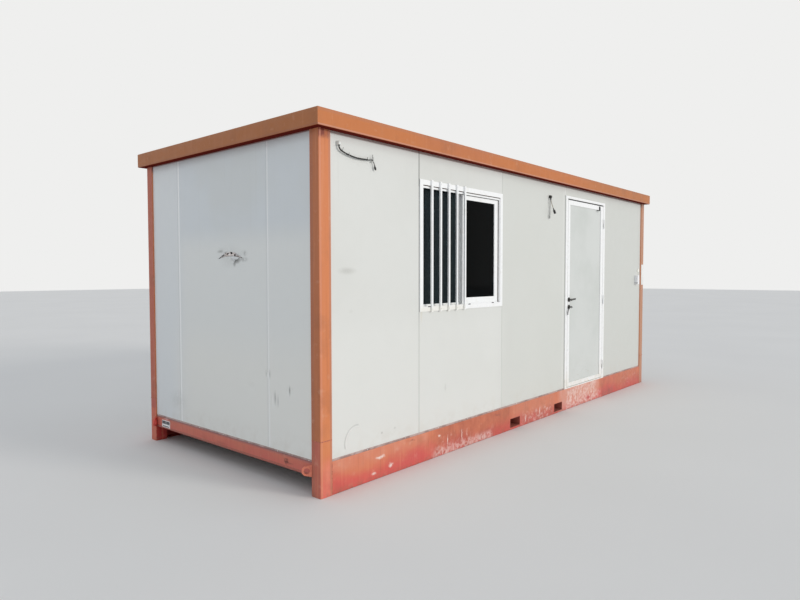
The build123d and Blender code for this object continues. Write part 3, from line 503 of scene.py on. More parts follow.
# Marks on the near end beam: from the near post, level, half width, half height, amount and colour
beam_marks = [
    (0.373, 0.184, 0.040, 0.034, 1.0, "4A2822"),
    (0.340, 0.176, 0.060, 0.010, 0.7, "7A4238"),
    (2.066, 0.225, 0.060, 0.030, 0.8, "E3B4B0"),
    (1.200, 0.160, 0.160, 0.030, 0.5, "A65A50"),
]


def rail_enamel(name):
    """The enamel of the base rails, redder towards the ground, with lime splashed and scraped on it."""
    surface, place, colour = weathered_enamel(
        name, user_colours().rail, user_colours().sound_red, 0.02, 0.17, 0.3, rail_faces, rail_weather)
    flecks = patches(place, 34, detail=6, seed=5.0)
    drips = patches(place, 16, detail=3, stretch=(1, 1, 4), seed=2.0)
    strayed = wandering(place, 60, 0.06)
    for left, right, low, top, amount, start in rail_splashes:
        splash = within(strayed, 0.05, (left_end + left, left_end + right), (None, front_skin_y), (low, top))
        colour = covered(colour, "F3DCD4", times(splash, limits(flecks, start - 0.02, start + 0.08), amount))
        colour = covered(colour, "F5E6E0", times(splash, limits(drips, start + 0.02, start + 0.16), amount * 0.5))
    chips = limits(patches(place, 20, detail=4, seed=11.0), 0.30, 0.42)
    feed(surface, marked(strayed, colour, on_rail, rail_chips, chips, through=0.1))


def splashed_beam_enamel(name):
    """The enamel of the end beams, dull and mauve where dust lies, with a star of rust near the post."""
    surface, place, colour = weathered_enamel(name, "D37C64", "CE6A60", 0.1, 0.3, 0.2, beam_faces)
    feed(surface, marked(place, colour, on_end, beam_marks, limits(patches(place, 10, detail=4), 0.36, 0.5)))


# Coated sheets of the walls

def coated_sheet(name, skin, faces=()):
    """Polyester coated steel sheet over foam, satin and nearly smooth. Rain has left faint runs below the roof,
    and the sheet waves a little over the foam."""
    surface, place = new_finish(name, Roughness=0.42, IOR=1.5)
    level = level_of(place)
    colour = covered(skin, "D6D7D1", limits(patches(place, 900, detail=3), 0.42, 0.68, high=0.35))
    colour = zoned(place, colour, faces)
    runs = limits(patches(place, 30, detail=3, stretch=(1, 1, 40)), 0.58, 0.8)
    colour = covered(colour, "BEBDB3", times(limits(level, 1.2, 2.45), runs, 0.12))
    dust = limits(patches(place, 90, detail=6), 0.4, 0.7)
    colour = covered(colour, "D2CBC0", times(limits(level, 0.45, 0.23), dust, 0.25))
    colour = covered(colour, "B4B2A6", limits(patches(place, 14, detail=2, seed=4.0), 0.76, 0.80, high=0.25))
    feed(surface, colour)
    feed(surface, limits(patches(place, 80), 0.3, 0.7, 0.36, 0.5), "Roughness")
    waves = relief(surface, patches(place, 260, detail=1, stretch=(1, 1, 5)), 0.0012)
    return surface, place, colour, waves


def dented_end_sheet(name):
    """The coated sheet of the left end, with its dents, painted highlights and shades over the dents and round
    the tear, and the grime round the tear.
    """
    surface, place, colour, waves = coated_sheet(name, user_colours().end_skin, end_joints_and_shade)
    dents = 0.0
    for *where, depth in end_dents:
        dents = add(place, "ShaderNodeMath", {"operation": "MULTIPLY_ADD"},
                    {0: wall_spot(place, on_end, *where), 1: -depth, 2: dents}).outputs[0]
    relief(surface, dents, 0.010, waves)
    grain = limits(patches(place, 30, detail=5, seed=6.0), 0.30, 0.48)
    feed(surface, marked(place, colour, on_end, end_marks_and_dent_shading, grain))


# Joints and tones of the left end, with painted highlights and shades beside the joints, white in their grooves
# as painted light against their shade, and painted shade and a painted shadow under the roof edge
end_joints_and_shade = [
    zone("E6E9EA", 0.8, 0.010, y=(far_end_seam, None), z=(0.24, None)),
    zone("E8EAE8", 1.0, 0.120, y=(None, far_end_seam), z=(None, 1.80)),
    zone("EDEDE8", 0.9, 0.250, y=(None, far_end_seam), z=(None, 1.00)),
    # Painted shade and painted highlight beside each joint, and white in its groove as painted light against the
    # groove's shade
    zone("B4B7B8", 0.16, 0.002, y=(near_end_seam + 0.0095, near_end_seam + 0.0235)),
    zone("F4F5F5", 0.30, 0.002, y=(near_end_seam - 0.0120, near_end_seam + 0.0070)),
    zone("FFFFFF", 1.00, 0.001, y=(near_end_seam - 0.0026, near_end_seam + 0.0030)),
    zone("B4B7B8", 0.25, 0.002, y=(far_end_seam + 0.0095, far_end_seam + 0.0235)),
    zone("FCFDFD", 0.90, 0.002, y=(far_end_seam - 0.0120, far_end_seam + 0.0070)),
    zone("FFFFFF", 1.00, 0.001, y=(far_end_seam - 0.0026, far_end_seam + 0.0030)),
    # Painted shade below the roof edge, and a dark red painted shadow right under it
    zone("B8B4B5", 0.40, 0.030, z=(soffit - 0.050, None)),
    zone("8A5C55", 0.85, 0.004, z=(soffit - 0.008, None)),
]
# Dents of the left end: from the near post, level, half width, half height and share of the deepest
end_dents = [
    (0.581, 0.785, 0.060, 0.045, 0.5),
    (0.510, 0.597, 0.040, 0.070, 0.7),
    (0.332, 0.691, 0.050, 0.040, 0.5),
    (0.790, 0.666, 0.070, 0.050, 0.4),
    (1.165, 1.680, 0.075, 0.045, 0.8),
    (0.860, 1.655, 0.060, 0.050, 0.9),
    (1.040, 1.560, 0.160, 0.060, 0.4),
]
# Marks on the left end: grime round the tear, the painted shadow of the bent tab, painted shades and highlights
# of the creases round the tear and of the dents, and a faint smudge low down. Each has its place from the near
# post, level, half width, half height, amount and colour
end_marks_and_dent_shading = [
    (1.040, 1.650, 0.230, 0.110, 0.25, "B3B4B0"),
    # Painted shadow under and on the bent tab, painted shade in the right tip and in the creases, and a painted
    # highlight on a bent edge
    (0.970, 1.628, 0.085, 0.046, 0.90, "8E8E8C"),
    (0.955, 1.618, 0.060, 0.034, 0.70, "868684"),
    (0.988, 1.594, 0.026, 0.036, 0.80, "939391"),
    (0.870, 1.622, 0.080, 0.026, 0.60, "9C9C9A"),
    (1.178, 1.690, 0.060, 0.018, 0.60, "9FA09B"),
    (0.852, 1.667, 0.026, 0.030, 0.55, "A3A5A3"),
    (1.170, 1.655, 0.030, 0.018, 0.60, "F2F2EF"),
    # Painted highlights and shades of the dents
    (0.527, 0.600, 0.014, 0.080, 0.95, "F6F6F3"),
    (0.500, 0.620, 0.013, 0.075, 0.75, "A0A1A0"),
    (0.466, 0.600, 0.011, 0.065, 0.50, "A9AAA9"),
    (0.333, 0.690, 0.013, 0.050, 0.90, "979896"),
    (0.350, 0.680, 0.011, 0.055, 0.75, "F0F0ED"),
    (0.582, 0.772, 0.013, 0.045, 0.90, "F2F2EF"),
    (0.560, 0.785, 0.010, 0.050, 0.75, "A2A3A1"),
    (0.603, 0.785, 0.009, 0.045, 0.55, "A2A3A1"),
    (0.560, 0.640, 0.050, 0.018, 0.40, "F0F0EC"),
    (1.860, 0.420, 0.200, 0.120, 0.20, "A9AAA6"),
]


def marked_front_sheet(name):
    """The coated sheet of the front, with its joints, a curved dent near the left post with a painted highlight
    and painted shade along its crease, and grey smudges.
    """
    surface, place, colour, waves = coated_sheet(name, user_colours().skin, front_joints_and_shade)
    grain = limits(patches(place, 12, detail=4, seed=8.0), 0.2, 0.5)
    colour = marked(place, colour, on_front, front_marks, grain)
    bow = 0.1095
    away = add(place, "ShaderNodeVectorMath", {"operation": "DISTANCE"},
               {0: place, 1: on_front(0.351, 0.320)}).outputs["Value"]
    stretch = within(
        place, 0.008, x=(left_end + 0.15, left_end + 0.37), y=(None, wall_face + 0.002), z=(0.29, 0.50))
    crease = times(limits(away, bow - 0.012, bow), limits(away, bow + 0.012, bow), stretch)
    # Painted highlight inside the crease's bend and painted shade outside it
    lit = times(limits(away, bow - 0.012, bow - 0.002), limits(away, bow + 0.002, bow - 0.002), stretch, 0.8)
    dark = times(limits(away, bow, bow + 0.006), limits(away, bow + 0.020, bow + 0.008), stretch, 0.8)
    feed(surface, covered(covered(colour, "FAFAF8", lit), "B4B5B1", dark))
    relief(surface, crease, 0.004, waves)


# Joints and tones of the front wall: the panels right of the window are duller. White in the joint's groove above
# the door is painted light, and the wall's top has painted shade and a painted shadow under the roof edge
front_joints_and_shade = [
    zone("D7D9D3", 0.85, 0.003, x=(seam_after_window, None), y=(None, wall_face + 0.001)),
    zone("A0A39D", 0.80, 0.001, x=(seam_before_window - 0.004, seam_before_window + 0.005)),
    zone("6E716A", 0.90, 0.001, x=(seam_before_window - 0.004, seam_before_window + 0.005), z=(2.20, None)),
    zone("D2D5CF", 0.80, 0.001, x=(seam_after_window - 0.002, seam_after_window + 0.012)),
    zone("B4B8B0", 0.80, 0.001, x=(seam_at_door - 0.004, seam_at_door + 0.008)),
    # Painted light: white in the joint's groove above the door, against the groove's shade
    zone("F4F5F2", 1.00, 0.001, x=(seam_at_door - 0.004, seam_at_door + 0.008), z=(2.37, None)),
    zone("E3E4E0", 0.50, 0.008, x=(seam_at_door - 0.050, seam_at_door - 0.012)),
    zone("CFD1CC", 0.85, 0.020, x=(left_end + 4.66, None), y=(None, wall_face + 0.001)),
    zone("E7E8E4", 0.90, 0.150, x=(None, seam_after_window), y=(None, wall_face + 0.001), z=(None, 1.15)),
    # Painted shade below the roof edge, and a dark red painted shadow right under it
    zone("B2AFB0", 0.45, 0.034, y=(None, wall_face + 0.001), z=(soffit - 0.056, None)),
    zone("86584F", 0.95, 0.004, y=(None, wall_face + 0.001), z=(soffit - 0.018, None)),
]
# Marks on the front wall: left, level, half width, half height, amount and colour
front_marks = [
    (0.265, 1.533, 0.120, 0.034, 0.60, "BDBDB7"),
    (0.300, 1.250, 0.030, 0.020, 0.25, "C4C4BE"),
    (0.615, 0.330, 0.016, 0.013, 0.60, "A9A8A1"),
    (0.760, 0.340, 0.020, 0.013, 0.50, "A9A8A1"),
    (1.080, 1.190, 0.020, 0.100, 0.35, "D8CDB4"),
    (1.400, 0.560, 0.020, 0.050, 0.35, "BDBCB6"),
]


# Finishes of the fittings

def white_enamel(name):
    """White stoving enamel on folded and drawn frames, semi-gloss, with dust that yellows its lower edges."""
    surface, place = new_finish(name, Roughness=0.3, IOR=1.5, Coat_Weight=0.1)
    dust = patches(place, 50, detail=6)
    colour = covered(user_colours().white, "E4E0D6", limits(dust, 0.5, 0.8, high=0.35))
    colour = covered(colour, "DDD3BD", times(limits(level_of(place), 0.5, 0.24), limits(dust, 0.3, 0.6), 0.4))
    feed(surface, zoned(wandering(place, 80, 0.05), colour, window_stains))
    feed(surface, limits(dust, 0.3, 0.8, 0.26, 0.45), "Roughness")
    relief(surface, patches(place, 4, detail=2), 0.0001)


# Yellowed zones of the window's frame
window_stains = [
    zone("EDE7D8", 0.45, 0.02, x=(left_end + 1.05, left_end + 1.66), y=(None, wall_face + 0.06),
         z=(1.20, 1.25)),
]


def float_glass(name):
    """Tinted float glass, flat, with a thin film of dust. Its IOR is low because next to nothing mirrors in the
    panes. The left pane is paler and lets less through."""
    surface, place = new_finish(name, IOR=1.1)
    # A paler colour and less transmission over the left pane
    left_pane = within(place, 0.001, x=(None, left_end + 1.66))
    feed(surface, covered(user_colours().glass, "5E6E74", left_pane))
    feed(surface, limits(left_pane, 0.0, 1.0, 1.0, 0.86), "Transmission Weight")
    feed(surface, limits(patches(place, 70, detail=6), 0.35, 0.8, 0.01, 0.06), "Roughness")


def galvanised_sheet(name):
    """Hot dip galvanised steel, dull grey with spangles a centimetre across and a white bloom where water lay."""
    surface, place = new_finish(name, Metallic=0.85, Roughness=0.45)
    spangle = add(place, "ShaderNodeTexVoronoi", inputs={"Vector": place, "Scale": 1000 / 11})
    grey = covered("A7ACAE", "C4C8C9", spangle.outputs["Color"])
    bloom = limits(patches(place, 240, detail=6), 0.5, 0.7)
    feed(surface, covered(grey, "D3D4D0", times(bloom, 0.6)))
    feed(surface, limits(bloom, 0.0, 1.0, 0.38, 0.62), "Roughness")
    relief(surface, patches(place, 500, detail=1), 0.0015)


def worn_finish(name, shade, worn, size, start, end, amount=1.0, detail=5, stretch=(1, 1, 1), zones=(),
                bump=None, depth=0.0001, gloss=None, **settings):
    """Makes a finish of two tones: the worn one shows in patches so many millimetres across, where their noise is
    between start and end. The bump is a noise of its own size, detail and stretch, or else the patches, and the
    gloss is the roughness of the sound and of the worn tone."""
    surface, place = new_finish(name, **settings)
    pattern = patches(place, size, detail, stretch)
    colour = zoned(place, covered(shade, worn, limits(pattern, start, end, high=amount)), zones)
    feed(surface, colour)
    if gloss:
        feed(surface, limits(limits(pattern, start, end), 0.0, 1.0, *gloss), "Roughness")
    relief(surface, patches(place, *bump) if bump else pattern, depth)
    return surface, place, pattern, colour


def lug_enamel(name):
    """Red enamel on the flame cut lugs, faded to salmon at the near corner and still vivid at the far one."""
    far_end = [zone("E2564C", 0.9, 0.01, y=(0.0, None))]
    surface, _, pattern, colour = worn_finish(
        name, "E8896C", "D97862", 14, 0.4, 0.6, bump=(3, 3), depth=0.0003, zones=far_end, Roughness=0.5, IOR=1.5)
    feed(surface, covered(colour, "7A4236", limits(pattern, 0.64, 0.70, high=0.8)))


def door_sheet(name):
    """The coated sheet of the door infill, greener than the walls, with light scuffs at its foot."""
    surface, place, _, colour = worn_finish(
        name, user_colours().door, "D0D4D0", 500, 0.4, 0.75, detail=4, bump=(300, 1, (1, 1, 4)), depth=0.0012,
        Roughness=0.4, IOR=1.5)
    scuffs = limits(patches(place, 18, detail=5, stretch=(5, 1, 1)), 0.56, 0.70)
    feed(surface, covered(colour, "B9B4A8", times(limits(level_of(place), 0.60, 0.28), scuffs, 0.4)))


def sealed_board(name):
    """Phenolic faced plywood, dark brown and dull, with long grain under the film and worn paths of grey dust."""
    surface, place, _, colour = worn_finish(
        name, "6B4A32", "4A3222", 9, 0.35, 0.65, detail=4, stretch=(18, 1, 1), depth=0.0003,
        Roughness=0.55, IOR=1.45)
    feed(surface, covered(colour, "8C8272", limits(patches(place, 400, detail=5), 0.45, 0.7, high=0.4)))


def socket_box_finish(name):
    """Moulded ABS of the socket box and the cap, near white, with a cream cap and, low at the left, a dark spot
    that is painted shade standing in for a hole.
    """
    cap = [zone("FFFDF4", 1.0, 0.001, x=(left_end + 5.74, None), z=(1.52, None))]
    surface, place, _, colour = worn_finish(
        name, "FAFAFD", "ECECEC", 20, 0.45, 0.75, 0.5, bump=(1.2, 2), zones=cap, Roughness=0.42, IOR=1.53)
    # Painted shade: a dark spot stands in for the shaded inside of a hole
    hole = spot(place, on_front(5.664, 1.390, 0.03), (0.014, 0.2, 0.014))
    feed(surface, covered(colour, "5A5A5A", times(hole, 0.8)))


def plate_panel(name):
    """The dark, plain printed fields of the plate on the end beam, glossy and scratched."""
    surface, place = new_finish(name, Roughness=0.35, IOR=1.49)
    scratches = limits(patches(place, 7, detail=5, stretch=(1, 6, 1)), 0.55, 0.7)
    feed(surface, covered("54565A", "9A9B9C", times(scratches, 0.6)))
    relief(surface, scratches, 0.0001)


def insulating_foam(name):
    """Rigid polyurethane foam, torn open: cream cells up to three millimetres across, brown where it aged, and
    dark brown painted shade where it lies deep in the gash.
    """
    surface, place = new_finish(name, Roughness=0.9, IOR=1.45)
    depth = add(place, "ShaderNodeSeparateXYZ", inputs={0: place}).outputs["X"]
    colour = covered("FAF0EC", "E2CFC2", limits(patches(place, 24, detail=5), 0.5, 0.72))
    # Painted shade: the foam turns dark brown deeper than a few millimetres into the gash
    colour = covered(colour, "47302B", limits(depth, end_face + 0.0036, end_face + 0.0064, high=0.9))
    feed(surface, marked(place, colour, on_end, foam_highlights_and_shade, limits(patches(place, 12, detail=4), 0.2, 0.4)))
    cells = add(place, "ShaderNodeTexVoronoi", inputs={"Vector": place, "Scale": 1000 / 3})
    relief(surface, cells.outputs["Distance"], 0.001)


# Pale lumps of the torn foam with painted highlights, and painted shade over the slit at the left and in a pit at
# the right tip: from the near post, level, half width, half height, amount and colour
foam_highlights_and_shade = [
    (1.063, 1.668, 0.032, 0.018, 1.0, "FFF9F7"),
    (1.006, 1.658, 0.016, 0.014, 1.0, "FFF6F2"),
    (0.963, 1.662, 0.020, 0.014, 1.0, "FFF9F7"),
    (0.935, 1.655, 0.016, 0.010, 1.0, "FCF0EB"),
    (1.152, 1.660, 0.060, 0.030, 1.0, "B9B5B3"),
    (0.888, 1.642, 0.024, 0.012, 1.0, "2E1E1B"),
]

# Extruded PVC cable sheath, smooth and slightly waxy, greyed by the sun and marked along its length
sheath_settings = dict(
    size=26, start=0.38, end=0.7, bump=(2.5, 3), depth=0.0002, Roughness=0.48, IOR=1.54,
    Specular_IOR_Level=0.4)
# Moulded nylon or ABS, matt, with a fine spark texture and a greyed, weathered bloom
moulded_settings = dict(size=14, start=0.4, end=0.75, amount=0.6, bump=(1.2, 2), IOR=1.53)

worn_finishes = {
    # Coated steel flashing along the walls' foot, stained grey and mauve by the dust that washes off the walls
    "stained_trim": dict(
        shade="C4ACA6", worn="A68A84", size=70, start=0.38, end=0.62, detail=6, bump=(8, 3), depth=0.0003,
        zones=[zone("9C7074", 0.9, 0.0005, x=(None, end_face - 0.002))], Roughness=0.6, IOR=1.5),
    # Weld beads under thin enamel, red brown where it has rusted, in ripples a few millimetres apart
    "rusted_weld": dict(
        shade="CE7C60", worn="A9614E", size=12, start=0.4, end=0.6, bump=(2.5, 2), depth=0.0004, Roughness=0.7,
        IOR=1.5),
    "black_sheath": dict(shade="181918", worn="343533", **sheath_settings),
    "grey_sheath": dict(shade="8A8B86", worn="9C9C96", **sheath_settings),
    "beige_sheath": dict(shade="857F72", worn="9A9486", **sheath_settings),
    "black_nylon": dict(shade="1B1B1C", worn="3B3B3B", Roughness=0.5, **moulded_settings),
    "grey_abs": dict(shade="A9ABA8", worn="8F918E", Roughness=0.45, **moulded_settings),
    # Nylon fixings of the cables: the hood at the left is painted with the wall, a little lighter as painted
    # light against its shade, and the rest is grey black
    "cable_fixing_nylon": dict(
        shade="1F1F1C", worn="44433A", Roughness=0.5, **moulded_settings,
        zones=[zone("E6E8E4", 1.0, 0.0005, x=(None, left_end + 0.35), z=(2.360, None)),
               zone("CFD1CC", 0.9, 0.0005, x=(left_end + 0.40, left_end + 0.60), z=(2.280, 2.360))]),
    # Plated steel of the lever and its roses, dull with finger marks and turned in fine rings
    "worn_steel": dict(
        shade="6E6C69", worn="3F3E3D", size=12, start=0.35, end=0.7, bump=(0.8, 1), depth=0.00005,
        gloss=(0.28, 0.5), Metallic=1.0, Roughness=0.35),
    # The wall's coated sheet where it is torn and curled, with scraped bare steel and grey dirt on its back
    "torn_sheet": dict(
        shade="E4E6E6", worn="8A8987", size=9, start=0.5, end=0.66, amount=0.6, stretch=(1, 4, 1), bump=(20, 3),
        depth=0.002, gloss=(0.5, 0.3), Roughness=0.45, IOR=1.5),
    # A bare plate of white sheet plastic, matt, with dust at its edges
    "plain_plate": dict(
        shade="F3F3F1", worn="D8D6CE", size=30, start=0.45, end=0.75, amount=0.5, detail=6, bump=(60, 1),
        depth=0.0004, Roughness=0.4, IOR=1.49),
    # Brown polypropylene pile of the window's brush seals, in hairs across its length; the dark pile also stands
    # in for the shade of the gaps it fills
    "brown_brush_and_gap_shade": dict(
        shade="5A483B", worn="3C2E26", size=1.5, start=0.4, end=0.6, detail=2, stretch=(1, 6, 6), depth=0.0006,
        Roughness=0.9, IOR=1.49),
    # Black EPDM rubber of the seals, dull, with a grey bloom
    "rubber": dict(
        shade="1C1D1E", worn="3A3B3B", size=20, start=0.4, end=0.7, detail=4, bump=(2, 2), Roughness=0.7,
        IOR=1.52),
}
made_finishes = {
    "fascia_enamel": lambda name: weathered_enamel(
        name, user_colours().fascia, user_colours().sound_red, -0.5, 0.5, 0.12, fascia_faces, fascia_weather),
    "post_enamel": lambda name: weathered_enamel(
        name, user_colours().post, user_colours().sound_red, -0.02, 0.30, 0.3, post_faces, post_weather_and_shade),
    "beam_enamel": splashed_beam_enamel,
    "rail_enamel": rail_enamel,
    "lug_enamel": lug_enamel,
    "plain_sheet": lambda name: coated_sheet(name, user_colours().skin),
    "dented_end_sheet": dented_end_sheet,
    "marked_front_sheet": marked_front_sheet,
    "door_sheet": door_sheet,
    "white_enamel": white_enamel,
    "float_glass": float_glass,
    "galvanised_sheet": galvanised_sheet,
    "sealed_board": sealed_board,
    "socket_box_abs": socket_box_finish,
    "insulating_foam": insulating_foam,
    "plate_panel": plate_panel,
}


def look(name):
    """Gives a finish by its name, and makes it the first time that it is asked for."""
    if name not in bpy.data.materials:
        if name in worn_finishes:
            worn_finish(name, **worn_finishes[name])
        else:
            made_finishes[name](name)
    return bpy.data.materials[name]


# Which finish each node of the frame gets
node_finishes = {
    "fascia_enamel": ["roof_beam_front", "roof_beam_back", "roof_beam_left", "roof_beam_right"],
    "post_enamel": ["corner_posts"],
    "lug_enamel": ["lashing_lugs"],
    "beam_enamel": ["end_beams", "fork_pockets"],
    "rail_enamel": ["base_rails"],
    "plain_sheet": ["back_wall_panels", "right_end_panels", "ceiling", "corner_casings"],
    "dented_end_sheet": ["left_end_panel_back", "left_end_panel_middle", "left_end_panel_front"],
    "marked_front_sheet": [
        "front_panel_left", "front_panel_middle", "front_panel_right", "front_panel_window",
        "front_panels_at_door"],
    "white_enamel": [
        "window_frame", "window_fixed_frame", "window_sash", "window_bars", "door_frame", "door_leaf_frame",
        "door_hinges_frame_side", "door_hinges_leaf_side"],
    "stained_trim": ["base_flashing"],
    "door_sheet": ["door_leaf_panel"],
    "float_glass": ["window_panes"],
    "galvanised_sheet": ["roof_sheet", "roof_purlins", "floor_joists"],
    "sealed_board": ["floor_deck"],
    "black_nylon": ["key_and_fob", "door_stay", "beige_cable_plug", "left_cable_plug"],
    "cable_fixing_nylon": ["cable_fixings"],
    "socket_box_abs": ["wall_fittings"],
    "grey_abs": ["grey_cable_plug"],
    "worn_steel": ["door_lever", "door_roses"],
}

# Cable routes, as the part's source has them: from the left, down from the roof edge, and out from the wall
left_route = [
    (0.178, 0.088, 0.017), (0.178, 0.104, 0.017), (0.190, 0.119, 0.017), (0.224, 0.133, 0.016),
    (0.285, 0.146, 0.015), (0.352, 0.154, 0.015), (0.420, 0.152, 0.015), (0.472, 0.151, 0.014),
    (0.498, 0.144, 0.013), (0.514, 0.149, 0.013), (0.523, 0.165, 0.014), (0.528, 0.182, 0.015),
]
grey_route = [
    (3.200, 0.165, 0.017), (3.200, 0.182, 0.017), (3.198, 0.205, 0.0165), (3.196, 0.236, 0.0155),
    (3.195, 0.271, 0.0145), (3.193, 0.309, 0.014), (3.192, 0.346, 0.0135),
]
beige_route = [
    (3.211, 0.165, 0.017), (3.211, 0.182, 0.017), (3.213, 0.203, 0.019), (3.217, 0.226, 0.023),
    (3.222, 0.250, 0.029), (3.228, 0.273, 0.035),
]

# The sleeve where a cable leaves its hood, tapered and ribbed at its root: radius and height
relief_profile = [
    (0.0, 0.0), (0.0060, 0.0), (0.0060, 0.0030), (0.0052, 0.0036), (0.0057, 0.0056), (0.0050, 0.0062),
    (0.0054, 0.0082), (0.0047, 0.0090), (0.0043, 0.0200), (0.0, 0.0200)]
left_cap_profile = [
    (0, 0), (0.0040, 0), (0.0045, 0.001), (0.0045, 0.008), (0.0062, 0.010), (0.0075, 0.013), (0.0075, 0.016),
    (0.0068, 0.017), (0.0075, 0.018), (0.0075, 0.025), (0.0070, 0.028), (0.0055, 0.029), (0.0055, 0.0335),
    (0.0048, 0.034), (0, 0.034)]
grey_sleeve_profile = [
    (0, 0), (0.0046, 0), (0.0050, 0.001), (0.0050, 0.008), (0.0066, 0.010), (0.0070, 0.013), (0.0070, 0.022),
    (0.0064, 0.023), (0.0070, 0.024), (0.0070, 0.032), (0.0062, 0.034), (0.0040, 0.034), (0.0040, 0.026),
    (0, 0.026)]
beige_connector_profile = [
    (0, 0), (0.0046, 0), (0.0050, 0.001), (0.0050, 0.014), (0.0074, 0.015), (0.0080, 0.016), (0.0080, 0.022),
    (0.0110, 0.024), (0.0120, 0.027), (0.0120, 0.034), (0.0112, 0.035), (0.0120, 0.036), (0.0120, 0.043),
    (0.0112, 0.044), (0.0120, 0.045), (0.0120, 0.056), (0.0106, 0.060), (0.0080, 0.060), (0.0080, 0.050),
    (0, 0.050)]



def hung(route):
    """Turns a cable's route into points in the frame."""
    return [on_front(left, soffit - drop, stand) for left, drop, stand in route]


# Each cable, with the name of the property for its diameter; its sheath and its end have a finish and a slot
cables = {
    "left": dict(
        route=hung(left_route), size="left_cable", sheath=("black_sheath", "dark_sheath"), length=0.40,
        far_end="connector", end="left_cable_cap", end_looks=("black_nylon", "dark_fitting"),
        profile=left_cap_profile),
    "grey": dict(
        route=hung(grey_route), size="door_cables", sheath=("grey_sheath", "grey_sheath"), length=0.181,
        far_end="fitting", end="grey_cable_sleeve", end_looks=("grey_sheath", "grey_fitting"),
        profile=grey_sleeve_profile),
    "beige": dict(
        route=hung(beige_route), size="door_cables", sheath=("beige_sheath", "beige_sheath"), length=0.112,
        far_end="connector", end="beige_cable_connector", end_looks=("black_nylon", "dark_fitting"),
        profile=beige_connector_profile),
}
# Ties of the left cable: name, share of its length, radius inside, length and way of the tail, and finish
left_ties = [
    ("left_tie_upper", 0.205, 0.0032, 0.026, (-0.9, 0, 1), "black_nylon"),
    ("left_tie_middle", 0.33, 0.0056, 0.013, (-0.2, 0, 1), "grey_sheath"),
    ("left_tie_at_hook", 0.79, 0.0052, 0.036, (0.15, 0, 1), "black_nylon"),
    ("left_tie_lower", 0.62, 0.0034, 0.017, (0.9, 0, 1), "black_nylon"),
]


def tube(name, kind, points, radii, finish, slot):
    """Makes a round tube along a curve of a kind, with a radius at each of its points."""
    curve = bpy.data.curves.new(name, "CURVE")
    curve.dimensions = "3D"
    spline = curve.splines.new(kind)
    spline.points.add(len(points) - 1)
    for point, place, radius in zip(spline.points, points, radii):
        point.co = (*place, 1.0)
        point.radius = radius
    spline.order_u = 3
    spline.use_endpoint_u = True
    curve.resolution_u = 12
    curve.bevel_depth = 1.0
    curve.bevel_resolution = bpy.context.scene.cabin_sizes.cable_sides
    curve.use_fill_caps = True
    return shown(name, curve, finish)


def centreline(cable):
    """Gives the points of a cable's own curve, read with no bevel."""
    depth = cable.data.bevel_depth
    cable.data.bevel_depth = 0.0
    graph = bpy.context.evaluated_depsgraph_get()
    mesh = bpy.data.meshes.new_from_object(cable.evaluated_get(graph))
    points = [vert.co.copy() for vert in mesh.vertices]
    bpy.data.meshes.remove(mesh)
    cable.data.bevel_depth = depth
    return points


def wound_tape(points, start, end, diameter):
    """Makes the tape wound on a stretch of cable, as a tube whose thickness steps with each turn."""
    last = len(points) - 1
    stretch = points[round(start * last):round(end * last) + 1]
    radii = [diameter / 2 * (0.86 + 0.14 * (index % 4) / 3) for index in range(len(stretch))]
    return tube("left_cable_tape", "POLY", stretch, radii, "black_sheath", "dark_sheath")


def cable_tie(name, points, share, radius, tail_length, tail_way, finish):
    """Makes a cable tie round a cable: a band, its square head and the cut tail that stands off it."""
    width = bpy.context.scene.cabin_sizes.tie_width
    index = min(len(points) - 2, max(0, round(share * (len(points) - 1))))
    centre = points[index]
    direction = (points[index + 1] - centre).normalized()
    shape = bmesh.new()
    band = turned([(radius, -width / 2), (radius + 0.0012, -width / 2), (radius + 0.0012, width / 2),
                   (radius, width / 2), (radius, -width / 2)], 20)
    stamp(shape, band, [turn_to(direction, centre)])
    side = direction.cross(Vector(tail_way)).normalized()
    way = side.cross(direction).normalized()
    parts = bmesh.new()
    block(parts, (-width * 0.7, -0.002, radius), (width * 0.7, 0.002, radius + 0.0045), 0.0006)
    block(parts, (-width / 2, -0.0006, radius + 0.003), (width / 2, 0.0006, radius + tail_length), 0.0003)
    basis = Matrix((direction, side, way)).transposed().to_4x4()
    stamp(shape, meshed(parts), [Matrix.Translation(centre) @ basis])
    return piece(name, shape, finish)


class CABIN_OT_camera(bpy.types.Operator):
    """Sets the camera where the photograph was taken from"""

    bl_idname = "cabin.camera"
    bl_label = "Camera"

    def execute(self, context):
        position = Vector((-5.681, -4.234, 1.508))
        yaw, pitch, roll = [math.radians(angle) for angle in (48.876, -2.379, -0.071)]
        focal_pixels, picture_width, sensor = 614.0, 800.0, 36.0
        forward = Vector((math.sin(yaw) * math.cos(pitch), math.cos(yaw) * math.cos(pitch), math.sin(pitch)))
        level_right = Vector((math.cos(yaw), -math.sin(yaw), 0))
        level_up = level_right.cross(forward)
        right = math.cos(roll) * level_right + math.sin(roll) * level_up
        up = -math.sin(roll) * level_right + math.cos(roll) * level_up
        data = bpy.data.cameras.new("camera")
        data.sensor_width = sensor
        data.lens = focal_pixels / picture_width * sensor
        data.clip_end = 200
        camera = bpy.data.objects.new("camera", data)
        camera.matrix_world = Matrix.Translation(position) @ Matrix((right, up, -forward)).transposed().to_4x4()
        context.scene.collection.objects.link(camera)
        context.scene.camera = camera
        return {"FINISHED"}


